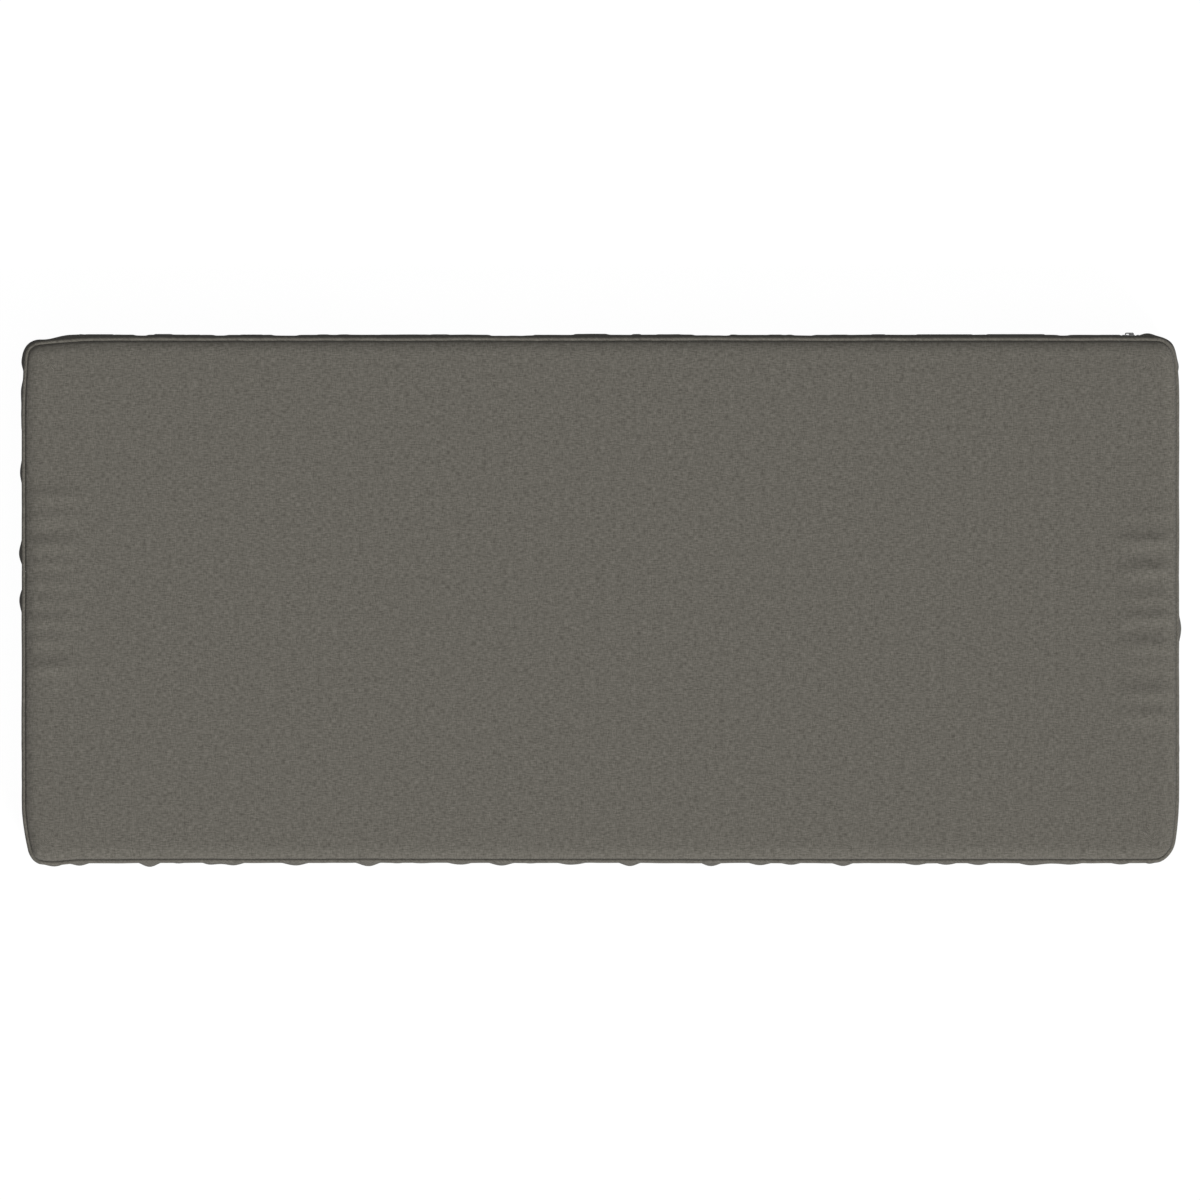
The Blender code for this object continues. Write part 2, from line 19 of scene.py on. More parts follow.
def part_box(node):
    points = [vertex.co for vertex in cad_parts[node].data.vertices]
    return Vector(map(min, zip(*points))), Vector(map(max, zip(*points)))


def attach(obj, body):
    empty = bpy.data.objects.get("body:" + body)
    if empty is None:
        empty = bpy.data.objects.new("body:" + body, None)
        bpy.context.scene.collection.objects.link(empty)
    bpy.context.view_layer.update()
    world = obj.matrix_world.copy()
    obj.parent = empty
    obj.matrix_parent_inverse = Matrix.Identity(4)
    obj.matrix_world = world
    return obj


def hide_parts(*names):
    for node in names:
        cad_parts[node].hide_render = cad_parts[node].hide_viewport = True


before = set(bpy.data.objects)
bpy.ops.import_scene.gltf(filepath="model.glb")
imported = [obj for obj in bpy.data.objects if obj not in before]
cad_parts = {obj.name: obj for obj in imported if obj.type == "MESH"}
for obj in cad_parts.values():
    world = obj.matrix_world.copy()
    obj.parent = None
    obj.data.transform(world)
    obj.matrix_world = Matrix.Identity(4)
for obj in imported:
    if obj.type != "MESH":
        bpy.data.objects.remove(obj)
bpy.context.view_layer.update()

bl_info = {
    "name": "Boxed bench cushion",
    "version": (1, 0, 0),
    "blender": (4, 5, 0),
    "location": "View3D > Sidebar > Cushion",
    "description": "Dresses a bench cushion's solids with a woven cover, piping and a zip",
    "category": "Object",
}

MM = 0.001


def in_mm(kind, *rows):
    """A table of one kind of row, whose numbers are given in millimetres."""
    return tuple(kind(*(number * MM for number in row)) for row in rows)


# From the frame: the two pipings give the seams, and the zip's pieces give its place in the back boxing
UPPER_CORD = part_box("piping_top")
LOWER_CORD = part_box("piping_bottom")
TAPE_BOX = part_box("zip_tape")
TEETH_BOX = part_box("zip_teeth")
SLIDER_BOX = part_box("zip_slider")
CORD_RADIUS = (UPPER_CORD[1].z - UPPER_CORD[0].z) / 2
HALF_LENGTH = UPPER_CORD[1].x - CORD_RADIUS
HALF_DEPTH = UPPER_CORD[1].y - CORD_RADIUS
ZIP_LEFT = TAPE_BOX[0].x
ZIP_RIGHT = TAPE_BOX[1].x
ZIP_HEIGHT = (TAPE_BOX[0].z + TAPE_BOX[1].z) / 2

# Both seams. up is 1 where the panel lies above the seam and -1 where it lies below, and seed sets how the
# sewn line strays.
Seam = namedtuple("Seam", "height up seed")
UPPER_SEAM = Seam((UPPER_CORD[0].z + UPPER_CORD[1].z) / 2, 1, 2.0)
LOWER_SEAM = Seam((LOWER_CORD[0].z + LOWER_CORD[1].z) / 2, -1, 9.0)
BOXING_HEIGHT = UPPER_SEAM.height - LOWER_SEAM.height

# Top panel: it rolls down to the seam in a narrow strip, and is nearly level further in
ROLL_WIDTH = 14 * MM
ROLL_RISE = 4.4 * MM
ROLL_POWER = 2.2
CROWN = 2.3 * MM
CROWN_SHOULDER = 60 * MM

# The cloth round a cord lies on a seat a little wider than the cord, from the panel to the boxing. The panel
# rides further up over the cord than this seat by an angle at the left, the right, the front and the back.
SEAT_RADIUS = CORD_RADIUS + 0.1 * MM
SEAT_ANGLES = tuple(math.radians(a) for a in (28, 0, -28, -55, -80))
RIDES_UP = tuple(math.radians(a) for a in (30, 27, 8, 10))

# Boxing
BELLY = 0.9 * MM
FOLD_HEIGHT_POWER = 0.6
UNDERSIDE_ROLL = 18 * MM
UNDERSIDE_INSETS = (4 * MM, 7 * MM, 10 * MM, 14 * MM, UNDERSIDE_ROLL)

# How the corners are drawn in. draw_x and draw_y are how far the corner moves inwards, or outwards when
# negative. The pull fades out over reach_end along the short side and over reach_long along the long side.
# bulge is how far the boxing stands out there past its belly, within about spread of the corner.
Corner = namedtuple("Corner", "x_side y_side radius draw_x draw_y reach_end reach_long bulge spread")
CORNERS = (
    Corner(-1, -1, 10.0 * MM, 9.0 * MM, 0.0 * MM, 60 * MM, 57 * MM, 2.2 * MM, 14 * MM),
    Corner(1, -1, 17.5 * MM, 7.3 * MM, 0.3 * MM, 62 * MM, 60 * MM, 0.8 * MM, 16 * MM),
    Corner(1, 1, 17.0 * MM, 4.4 * MM, 1.1 * MM, 59 * MM, 38 * MM, 3.1 * MM, 14 * MM),
    Corner(-1, 1, 11.5 * MM, 3.8 * MM, 5.7 * MM, 76 * MM, 86 * MM, 4.4 * MM, 16 * MM),
)

# Places where the front seam bows outwards: at is the place along the seam, out is how far it bows there,
# and spread is how wide the bow is. It fades out in the panel within BOW_REACH of the seam.
Bow = namedtuple("Bow", "at out spread")
FRONT_BOWS = in_mm(
    Bow,
    (-523.5, 2.1, 12),
    (-490.5, 0.45, 28),
    (300, 0.45, 120),
)
BOW_REACH = 50 * MM

# Upright folds in the boxing. at is the place along the side, rise is how far the fold reaches past the
# cord, spread is its width from crest to shoulder, and lean is how far its top is shifted along the side.
Fold = namedtuple("Fold", "at rise spread lean")
FRONT_FOLDS = in_mm(
    Fold,
    (-521.5, 1.3, 8.0, 2),
    (-495.5, 2.3, 6.8, 6),
    (-429, 4.1, 6.2, -4),
    (-401, 1.2, 7.0, 7),
    (-371, 2.5, 7.0, 6),
    (-349.5, 2.65, 7.4, -6),
    (-290.5, 2.75, 9.6, 9),
    (-221, 3.2, 7.0, -10),
    (-193, 0.4, 6.0, 3),
    (-173, 0.8, 9.0, 7),
    (-133, 1.5, 9.5, -8),
    (-94.5, 3.15, 8.3, 6),
    (-67, 0.5, 8.0, -5),
    (-29, 2.1, 10.0, 8),
    (28, 3.75, 6.8, -5),
    (105, 3.2, 6.3, 8),
    (151.5, 2.25, 7.6, -6),
    (181.5, 1.7, 7.6, 5),
    (230.5, 3.1, 6.5, -7),
    (301, 1.6, 7.2, 8),
    (330.5, 2.35, 7.8, -3),
    (359, 2.05, 8.0, 8),
    (409.5, 2.35, 7.8, -9),
    (429, 0.1, 8.0, 2),
    (448, 1.55, 8.5, 6),
    (496, 1.45, 7.6, -6),
    (524.5, 0.85, 4.5, 3),
)
LEFT_FOLDS = in_mm(
    Fold,
    (228, 1.3, 6.0, 2),
    (200, 1.75, 9.0, 3),
    (173, 1.1, 17.0, -4),
    (122.5, 2.15, 9.5, -7),
    (45, 3.25, 8.6, 5),
    (0.5, 3.35, 9.0, -4),
    (-72, -0.6, 11.0, 8),
    (-133, 0.85, 20.0, -9),
)
RIGHT_FOLDS = in_mm(
    Fold,
    (222, 1.2, 5.0, 2),
    (150, 1.0, 26.0, 8),
    (74, -0.4, 10.0, -8),
    (-27, 3.1, 10.5, 4),
    (-147, 0.8, 18.0, 7),
    (-205, -0.4, 10.0, -6),
)
# At the back, rise is how far a fold reaches past the lips of the zip
BACK_FOLDS = in_mm(
    Fold,
    (-512, 2.3, 10.0, 3),
    (-487, 0.8, 15.0, -4),
    (521.5, 4.0, 6.5, 2),
)

# Short creases that run inwards from the middle of both end seams, from the back one to the front one
Pucker = namedtuple("Pucker", "left_at left_height right_at right_height")
PUCKERS = in_mm(
    Pucker,
    (98.3, 1.7, 82.2, 0.9),
    (78.8, 1.5, 55.5, 2.9),
    (52.2, 2.1, 28.0, 2.8),
    (34.6, 1.5, 2.3, 1.6),
    (16.5, 1.7, -17.2, 2.3),
    (-1.5, 1.5, -42.9, 2.5),
    (-19.1, 1.9, -61.4, 0.9),
    (-37.7, 1.3, -88.5, 2.0),
    (-64.3, 2.2, -109.5, 1.6),
)
PUCKER_SPREAD = 5.0 * MM
PUCKER_FULL = (19 * MM, 34 * MM)  # they stand at their full height between these distances from the seam
PUCKER_END = 65 * MM

# The uneven rest: how large the waves are in the sewn lines, the boxing's ripples, the puckers at the seams
# and the panel
STRAY_SIZES = (45 * MM, 17 * MM)
RIPPLE_SIZES = (26 * MM, 11 * MM)
RIPPLE_FINE = 0.35  # the small ripples' height, as a share of the broad ones'
RIPPLE_CHANGE = 1.2  # how far the ripples' noise moves on over the boxing's height
RIPPLE_LEAN = 30 * MM
RIPPLE_LEAN_SIZE = 140 * MM
SEAM_PUCKER_SIZE = 8 * MM
SEAM_PUCKER_START, SEAM_PUCKER_LENGTH = 0.05, 0.16  # how far they rise and fade, as shares of its height
BOXING_PUCKER, PANEL_PUCKER = 2.2, 1.3  # the puckers' height there, as shares of the setting
SCALLOP_SIZE = 11 * MM
SCALLOP_AT = 4 * MM  # how far from the seam the panel's scallops are highest
SCALLOP_SPREAD = 3.5 * MM
PANEL_WAVE = 0.25 * MM
PANEL_WAVE_SIZE = 90 * MM
PANEL_WAVE_FROM, PANEL_WAVE_FULL = 20 * MM, 80 * MM  # from the seam
LEAN_SEED, BROAD_SEED, FINE_SEED, SCALLOP_SEED, PANEL_SEED = 3.1, 11.3, 23.7, 53.0, 61.0
LOWER_PUCKER_SEED, UPPER_PUCKER_SEED = 31.0, 41.0
QUIET_SHARE = 0.75  # how much of the ripples the zip's stiff tape takes out of the back boxing
QUIET_FROM, QUIET_TO = 8 * MM, 16 * MM  # from full to none, above and below the zip's middle

# Zip: how far things stand outside the cord's centre line, and where the zip waves in and out
GAP = 0.3 * MM
CHANNEL_FLOOR = TAPE_BOX[0].y - HALF_DEPTH - GAP
CHANNEL_HALF = 4.5 * MM
LIP_BULGE = 3.7 * MM
LIP_FADE = (0.490, 0.535)
LIP_EDGE = 0.5 * MM
LIP_ROUND = 1.3 * MM
STITCH_ROW = 8.0 * MM
STITCH_VALLEY = 0.35 * MM
STITCH_VALLEY_SPREAD = 0.7 * MM
STITCH_LENGTH = 2.5 * MM
STITCH_PITCH = 3.0 * MM
STITCH_END = 3.0 * MM  # how far past the zip's ends its two short rows lie
THREAD_RADIUS = 0.30 * MM
TAPE_CUTS = (19, 19)  # each cuts every stretch of the tape into 20
TAPE_RIM = 1.3 * MM
TAPE_GROOVE = 0.12 * MM
TOOTH_WIDTH = 0.86 * MM
TOOTH_PAST_MIDDLE = 0.5 * MM  # how far a tooth reaches between two of the other row
TOOTH_HEAD = (0.65, 0.9, 1)  # its size at the chain's middle, as shares of its size at the chain's edge
TOOTH_EASING = 0.2 * MM
PLATE_WALL = 0.6 * MM
FLANGE_WALL = 0.8 * MM
RUNNING_GAP = 0.15 * MM
ARCH_AT = 0.8 * MM  # its middle, from the slider's middle
ARCH_LENGTH = 8.4 * MM
ARCH_WIDTH = 2.4 * MM
ARCH_ROUND = 1.3 * MM
ARCH_BAR = 1.1 * MM
ARCH_WINDOW = (-3.2 * MM, -0.4 * MM)  # the open stretch under the arch, from its middle
ARCH_WINDOW_ROUND = 0.3 * MM
PLATE_CORNER = 1.7 * MM
TAIL_SHARE = 0.8  # the slider's width at its tail, as a share of its width at its shoulders
SLIDER_EASING = 0.12 * MM
# lips and chain are how far the cloth's lips and the zip's chain stand out of their plain places here
Wave = namedtuple("Wave", "at spread lips chain")
ZIP_WAVES = in_mm(
    Wave,
    (-477, 14, -0.3, 0.8),
    (-437, 6, -0.8, -0.8),
    (-416, 9, 0.0, 1.0),
    (-387, 7, -0.5, 0.4),
    (-361.5, 6, -0.6, -0.6),
    (-332, 11, -0.4, 0.5),
    (-299.5, 12, -0.7, -0.7),
    (-263.5, 5, 0.35, 0.2),
    (-244.5, 5, 0.35, 0.2),
    (-186, 23, 0.25, 0.2),
    (-153, 8, 0.45, 0.3),
    (-84.5, 20, -1.4, -1.4),
    (-9, 16, 0.85, 0.6),
    (34.5, 4.5, 0.2, 1.0),
    (65, 11, 0.4, 0.2),
    (106, 16.5, -1.6, -1.6),
    (154, 23, -0.4, 0.2),
    (166.5, 6, 0.4, 0.3),
    (193, 10, -0.7, -0.7),
    (227.7, 8, 0.3, 0.2),
    (264.5, 7, -0.1, 0.8),
    (327.5, 27, -0.2, 0.75),
    (395, 28, -0.2, 0.9),
    (440.5, 5, -0.6, -0.6),
    (495, 20, -0.1, 0.3),
    (502.7, 7.5, -0.4, -0.9),
)
WAVE_END = 4 * MM
WAVE_REACH = 21 * MM  # how far from the zip's middle its waves fade out in the boxing

# Where the cover's mesh is fine and where it is coarse
STATION = 2.4 * MM
END_REACH = 70 * MM
FINE_CELL = 4.8 * MM
WIDE_CELL = 9.6 * MM
PANEL_INSETS = tuple(i * MM for i in (3.4, 4.6, 6.0, 7.6, 9.4, 11.6, 14.2, 17.4, 21.0, 25.0))
GRID_INSET = 29 * MM
FAR_FROM_SEAMS = (0.0, 1.0)  # a place by the seams that is far from all of them
ZIP_ROWS = tuple(
    h * MM for h in (4.4, 4.65, 5.2, 6.2, 7.4, 8.0, 8.6, 10, 12.5, 15.4, 18.4, 21.4, 24.4, 27, 29.3)
)
ROWS_EVEN_OUT = 14 * MM  # the boxing's rows turn even within this distance past the zip's ends
SEAM_PROBE = 1 * MM  # how far to each side a seam's direction is felt for
CORD_SIDES = 14
SMOOTH_BELOW = math.radians(50)  # flatter edges than this are shaded smooth
CORD_LUMPS = ((0.045, 9 * MM, 70), (0.03, 31 * MM, 80))  # share of its radius, size and seed of each

# Cloth: how its yarns look close by
SWAY_SIZE = 4.0 * MM
CLOUD_SIZE = 8 * MM
LINT_SIZE = (0.9 * MM, 0.14 * MM)  # along the yarn and across it
PLY_SIZE = (0.75 * MM, 0.70 * MM)
TONES = (0.30, 0.70)  # the stretch of the noise that turns from the darkest to the lightest yarn
YARN_PAINTED_SHADE_HEIGHTS = (0.15, 1.0)  # the stretch of a yarn's height over which its painted shade changes
YARN_PAINTED_SHADE_AND_HIGHLIGHT = (0.42, 1.10)  # painted shade between the yarns, and a painted highlight on their crests
YARN_RELIEF = 0.22 * MM
YARN_APART = 7.31  # from one yarn's noise to the next one's, so far that neighbours share nothing
WARP_SEED, LEVEL_SEED, UPRIGHT_SEED = 40.0, 80.0, 120.0
WEFT_SWAY = -0.8  # the weft's sway, as a share of the warp's
CLOUD_SHADE, LINT_SHADE, PLY_PAINTED_SHADE = 0.08, 0.40, 0.03  # how much each turns a yarn lighter or darker: clouds and lint by their own tone, plies by painted shade in their grooves
LINT_RELIEF, PLY_RELIEF, SEAM_RELIEF = 0.3, 0.06, 1.6  # how high each stands, as a share of the yarns' relief
SEAM_STITCH = 2.9 * MM
SEAM_STITCH_FADE = 2.2 * MM
TAPE_RIB = 0.5 * MM
TAPE_YARN = 0.32 * MM
THREAD_TWIST = 0.34 * MM

# The photograph's frame, and the cushion in it
PHOTO_SIDE = 1200
CUSHION_LEFT, CUSHION_RIGHT = 21.6, 1179.2
PHOTO_CENTRE = (600.4, 599.9)
PIXEL = 2 * (HALF_LENGTH + CORD_RADIUS) / (CUSHION_RIGHT - CUSHION_LEFT)
CAMERA_HEIGHT = 20.0
FLOOR_SIZE = 14
FLOOR_DROP = 0.2 * MM  # below the cushion, so that the two faces don't lie in one plane

# The lamps: how wide each one is, and where it stands, in degrees
Lamp = namedtuple("Lamp", "spread azimuth elevation")
KEY_LIGHT = Lamp(18, 32, 35)
OVERHEAD_LIGHT = Lamp(70, 32, 78)

# The kinds of setting: a length, a share from 0 to 1 and a colour
Length = partial(bpy.props.FloatProperty, unit="LENGTH")
Share = partial(bpy.props.FloatProperty, subtype="FACTOR")
Colour = partial(bpy.props.FloatVectorProperty, subtype="COLOR", size=3)


class CoverShape(bpy.types.PropertyGroup):
    """How uneven the sewn cover is."""

    wander: Length(
        name="Seam wander",
        description="How far the sewn seams stray from an even line",
        default=0.35 * MM,
    )
    ripple: Length(
        name="Boxing ripple",
        description="Height of the soft upright ripples in the boxing",
        default=0.9 * MM,
    )
    seam_pucker: Length(
        name="Seam pucker",
        description="Height of the small puckers that start at the seams",
        default=0.45 * MM,
    )


class ClothFinish(bpy.types.PropertyGroup):
    """The woven cloth of the cover and the piping."""

    warp_pitch: Length(
        name="Warp pitch",
        description="Distance between the yarns that run from front to back",
        default=1.00 * MM,
    )
    weft_pitch: Length(
        name="Weft pitch",
        description="Distance between the yarns that run from left to right",
        default=0.92 * MM,
    )
    sway: Length(
        name="Yarn sway",
        description="How far the yarns wander from a straight line",
        default=0.7 * MM,
    )
    streak: Length(
        name="Streak length",
        description="How far a yarn keeps its shade before it turns lighter or darker",
        default=3.4 * MM,
    )
    mottle: Length(
        name="Mottle length",
        description="Length of the soft lighter and darker streaks that a few neighbouring yarns share",
        default=4.9 * MM,
    )
    level: Share(
        name="Level mottle",
        description="How many of the shared streaks run from left to right, and not from front to back",
        default=0.6,
    )
    mottled: Share(
        name="Mottled",
        description="How much of the shade comes from the shared streaks, and not from each yarn's own",
        default=0.7,
    )
    dark: Colour(
        name="Dark yarn",
        description="Colour of the darkest stretches of yarn",
        default=(0.0972, 0.0903, 0.0749),
    )
    light: Colour(
        name="Light yarn",
        description="Colour of the lightest stretches of yarn",
        default=(0.2060, 0.1933, 0.1661),
    )


class ZipFinish(bpy.types.PropertyGroup):
    """The zip's sizes and colours."""

    tooth_pitch: Length(
        name="Tooth pitch",
        description="Distance from one turn of the coil to the next",
        default=1.25 * MM,
    )
    tape: Colour(
        name="Tape",
        description="Colour of the woven tape",
        default=(0.012, 0.012, 0.013),
    )
    teeth: Colour(
        name="Teeth",
        description="Colour of the nylon coil",
        default=(0.018, 0.018, 0.019),
    )
    metal: Colour(
        name="Slider",
        description="Colour of the plated slider",
        default=(0.20, 0.20, 0.20),
    )
    thread: Colour(
        name="Thread",
        description="Colour of the sewing thread beside the zip",
        default=(0.195, 0.184, 0.160),
    )


class StudioLight(bpy.types.PropertyGroup):
    """The plain studio round the cushion."""

    sky: bpy.props.FloatProperty(
        name="Sky",
        description="Strength of the even light from all around",
        default=0.22,
    )
    overhead: bpy.props.FloatProperty(
        name="Overhead light",
        description="Strength of the broad light from above",
        default=0.91,
    )
    sun: bpy.props.FloatProperty(
        name="Key light",
        description="Strength of the soft light from the front right",
        default=2.76,
    )
    floor_shade: Share(
        name="Floor shade",
        description="How light the floor's own grey is",
        default=0.06,
    )
    floor_glow: bpy.props.FloatProperty(
        name="Floor glow",
        description="How much the floor is lit up by itself, as a lit backdrop is",
        default=0.97,
    )


# ---------------------------------------------------------------- the cushion's form


def smooth(share):
    """0 below 0, 1 above 1, and an even S between them."""
    share = min(1.0, max(0.0, share))
    return share * share * (3 - 2 * share)


def bell(distance, spread):
    return math.exp(-0.5 * (distance / spread) ** 2)


def wavy(place, size, seed):
    """Even noise from -1 to 1 at a place, with features about size across."""
    return noise.noise(Vector((place[0] / size, place[1] / size, seed)))


def corner_of(x, y):
    """The corner whose rounding holds this place, or None."""
    for corner in CORNERS:
        past_end = x * corner.x_side - (HALF_LENGTH - corner.radius)
        past_long = y * corner.y_side - (HALF_DEPTH - corner.radius)
        if past_end > 0 and past_long > 0:
            return corner, past_end, past_long
    return None


def rounded(x, y):
    """A place in the plain rectangle, moved to its place in the rectangle with rounded corners."""
    found = corner_of(x, y)
    if not found:
        return x, y
    corner, past_end, past_long = found
    shrink = max(past_end, past_long) / math.hypot(past_end, past_long)
    x -= corner.x_side * past_end * (1 - shrink)
    y -= corner.y_side * past_long * (1 - shrink)
    return x, y


def outward(x, y):
    """The direction out of the cushion, seen from above, at a place on the plain rectangle's border."""
    found = corner_of(x, y)
    if found:
        corner, past_end, past_long = found
        length = math.hypot(past_end, past_long)
        return corner.x_side * past_end / length, corner.y_side * past_long / length
    if HALF_LENGTH - abs(x) < HALF_DEPTH - abs(y):
        return math.copysign(1, x), 0.0
    return 0.0, math.copysign(1, y)


def drawn_in(x, y):
    """The same place once the corners are pulled in by their seams, and the front seam bows out."""
    move_x = 0.0
    move_y = 0.0
    for corner in CORNERS:
        from_end = max(0.0, HALF_LENGTH - corner.x_side * x)
        from_long = max(0.0, HALF_DEPTH - corner.y_side * y)
        near_end = max(0.0, 1 - from_end / corner.reach_long)
        near_long = max(0.0, 1 - from_long / corner.reach_end)
        pull = (near_end * near_long) ** 2
        move_x -= corner.x_side * corner.draw_x * pull
        move_y -= corner.y_side * corner.draw_y * pull
    near_front = max(0.0, 1 - (HALF_DEPTH + y) / BOW_REACH) ** 2
    if near_front > 0:
        move_y -= near_front * sum(bow.out * bell(x - bow.at, bow.spread) for bow in FRONT_BOWS)
    return x + move_x, y + move_y


def pucker_height(x, y, from_seam):
    """How far the end creases lift the top panel here."""
    full_from, full_to = PUCKER_FULL
    reach = smooth(from_seam / full_from) * smooth((PUCKER_END - from_seam) / (PUCKER_END - full_to))
    if reach <= 0:
        return 0.0
    if x < 0:
        return reach * sum(p.left_height * bell(y - p.left_at, PUCKER_SPREAD) for p in PUCKERS)
    return reach * sum(p.right_height * bell(y - p.right_at, PUCKER_SPREAD) for p in PUCKERS)


def panel_height(x, y):
    """The top panel's height above the place where it meets the seam."""
    from_end = HALF_LENGTH - abs(x)
    from_seam = min(from_end, HALF_DEPTH - abs(y))
    roll = 1 - max(0.0, 1 - from_seam / ROLL_WIDTH) ** ROLL_POWER
    crown = 1 - math.exp(-from_seam / CROWN_SHOULDER)
    return ROLL_RISE * roll + CROWN * crown + pucker_height(x, y, from_end)


def fold_offset(folds, along, share, start=CORD_RADIUS - BELLY):
    """How far a side's folds push the boxing out at this share of its height, with their rise from start."""
    total = 0.0
    for fold in folds:
        crest = fold.at + fold.lean * (share - 0.5)
        total += (fold.rise + start) * bell(along - crest, fold.spread)
    return total


# A place on the border: on the plain rectangle, on the drawn-in seam, straight out of it, and how far round
Station = namedtuple("Station", "x y normal_x normal_y seam out along")


def cells(low, high, size):
    """The places that part the stretch from low to high evenly, about size apart, without its end."""
    steps = max(1, round((high - low) / size))
    return [low + (high - low) * i / steps for i in range(steps)]


def grid_columns():
    """The lines of the cover's grid along the bench: close together near both ends."""
    middle = HALF_LENGTH - END_REACH
    lines = cells(-HALF_LENGTH, -middle, FINE_CELL)
    lines += cells(-middle, middle, WIDE_CELL)
    return lines + cells(middle, HALF_LENGTH, FINE_CELL) + [HALF_LENGTH]


def grid_rows():
    return cells(-HALF_DEPTH, HALF_DEPTH, FINE_CELL) + [HALF_DEPTH]


def split_lines(lines):
    """Adds places between the lines until they are about a station apart, without the last one."""
    places = []
    for low, high in zip(lines, lines[1:]):
        places += cells(low, high, STATION)
    return places


def stations():
    """The border's stations, from the front left corner along the front, the right, the back and the left."""
    long_side = split_lines(grid_columns())
    short_side = split_lines(grid_rows())
    border = [(x, -HALF_DEPTH) for x in long_side]
    border += [(HALF_LENGTH, y) for y in short_side]
    border += [(-x, HALF_DEPTH) for x in long_side]
    border += [(-HALF_LENGTH, -y) for y in short_side]
    found = []
    along = 0.0
    before = None
    for x, y in border:
        normal_x, normal_y = outward(x, y)
        round_x, round_y = rounded(x, y)
        step_x, step_y = -normal_y * SEAM_PROBE, normal_x * SEAM_PROBE
        ahead = Vector(drawn_in(round_x + step_x, round_y + step_y))
        behind = Vector(drawn_in(round_x - step_x, round_y - step_y))
        heading = (ahead - behind).normalized()
        seam = Vector(drawn_in(round_x, round_y))
        if before is not None:
            along += (seam - before).length
        before = seam
        out = Vector((heading.y, -heading.x))
        found.append(Station(x, y, normal_x, normal_y, seam, out, along))
    return found


def places_along(border):
    """How far round each station lies, and last of all the whole way round."""
    last = border[-1]
    whole = last.along + (border[0].seam - last.seam).length
    return [station.along for station in border] + [whole]


def zip_share(x, fade=STATION):
    """1 where the zip is, and 0 from fade past its ends on."""
    return smooth((x - ZIP_LEFT) / fade + 1) * smooth((ZIP_RIGHT - x) / fade + 1)


def wave_share(wave, x):
    """1 inside the wave, and 0 outside it, with soft ends."""
    return smooth((wave.spread - abs(x - wave.at)) / WAVE_END + 0.5)


def lip_wave(x):
    """How far the lips beside the zip stand out here, or in."""
    return sum(wave.lips * wave_share(wave, x) for wave in ZIP_WAVES)


def chain_wave(x):
    """How far the zip's chain and tape stand out here, or in."""
    return sum(wave.chain * wave_share(wave, x) for wave in ZIP_WAVES)


def seam_stray(station, seam, wander):
    """How far the sewn line strays outwards here."""
    broad, fine = STRAY_SIZES
    return wander * (wavy(station.seam, broad, seam.seed) + 0.5 * wavy(station.seam, fine, seam.seed + 5))


def ripples(station, share, shape):
    """Soft upright ripples over the whole height, and small puckers that start at both seams."""
    tangent = Vector((-station.out.y, station.out.x))
    lean = RIPPLE_LEAN * wavy(station.seam, RIPPLE_LEAN_SIZE, LEAN_SEED)
    place = station.seam + tangent * lean * (share - 0.5)
    height = (share - 0.5) * RIPPLE_CHANGE
    broad = wavy(place, RIPPLE_SIZES[0], BROAD_SEED + height)
    fine = wavy(place, RIPPLE_SIZES[1], FINE_SEED + 2 * height)
    total = shape.ripple * (broad + RIPPLE_FINE * fine) * (4 * share * (1 - share)) ** 0.5
    for from_seam, seed in ((share, LOWER_PUCKER_SEED), (1 - share, UPPER_PUCKER_SEED)):
        fade = math.exp(-from_seam / SEAM_PUCKER_LENGTH) * smooth(from_seam / SEAM_PUCKER_START)
        total += BOXING_PUCKER * shape.seam_pucker * wavy(station.seam, SEAM_PUCKER_SIZE, seed) * fade
    return total


def back_profile(station, height, base):
    """The boxing's offset beside and behind the zip, at this height above the zip's middle."""
    share = zip_share(station.x)
    if station.normal_y < 0.5 or share == 0:
        return base
    from_middle = abs(height)
    out = base
    lip = max(0.0, 1 - (from_middle - CHANNEL_HALF) / LIP_ROUND)
    out -= LIP_EDGE * lip ** 2
    out -= STITCH_VALLEY * bell(from_middle - STITCH_ROW, STITCH_VALLEY_SPREAD)
    out += lip_wave(station.x) * smooth((WAVE_REACH - from_middle) / (WAVE_REACH - STITCH_ROW))
    if from_middle < CHANNEL_HALF:
        out = CHANNEL_FLOOR + chain_wave(station.x)
    return base + (out - base) * share


def boxing_place(station, height, share, shape):
    """A point of the boxing, at this height above the zip's middle and this share of the boxing's height."""
    out = BELLY
    for folds, facing, along in (
        (FRONT_FOLDS, -station.normal_y, station.x),
        (LEFT_FOLDS, -station.normal_x, station.y),
        (RIGHT_FOLDS, station.normal_x, station.y),
    ):
        if facing > 0:
            out += facing ** 2 * fold_offset(folds, along, share)
    if station.normal_y > 0:
        full_to, none_from = LIP_FADE
        lip = LIP_BULGE * smooth((none_from - abs(station.x)) / (none_from - full_to))
        out += station.normal_y ** 2 * (lip + fold_offset(BACK_FOLDS, station.x, share, start=0.0))
    for corner in CORNERS:
        away = math.hypot(HALF_LENGTH - corner.x_side * station.x, HALF_DEPTH - corner.y_side * station.y)
        out += corner.bulge * bell(away, corner.spread)
    out *= (4 * share * (1 - share)) ** FOLD_HEIGHT_POWER
    stiff = max(0.0, station.normal_y) * smooth((QUIET_TO - abs(height)) / (QUIET_TO - QUIET_FROM))
    out += (1 - QUIET_SHARE * stiff) * ripples(station, share, shape)
    out = back_profile(station, height, out)
    out += seam_stray(station, UPPER_SEAM, shape.wander) * share
    out += seam_stray(station, LOWER_SEAM, shape.wander) * (1 - share)
    place = station.seam + station.out * out
    return place.x, place.y, ZIP_HEIGHT + height


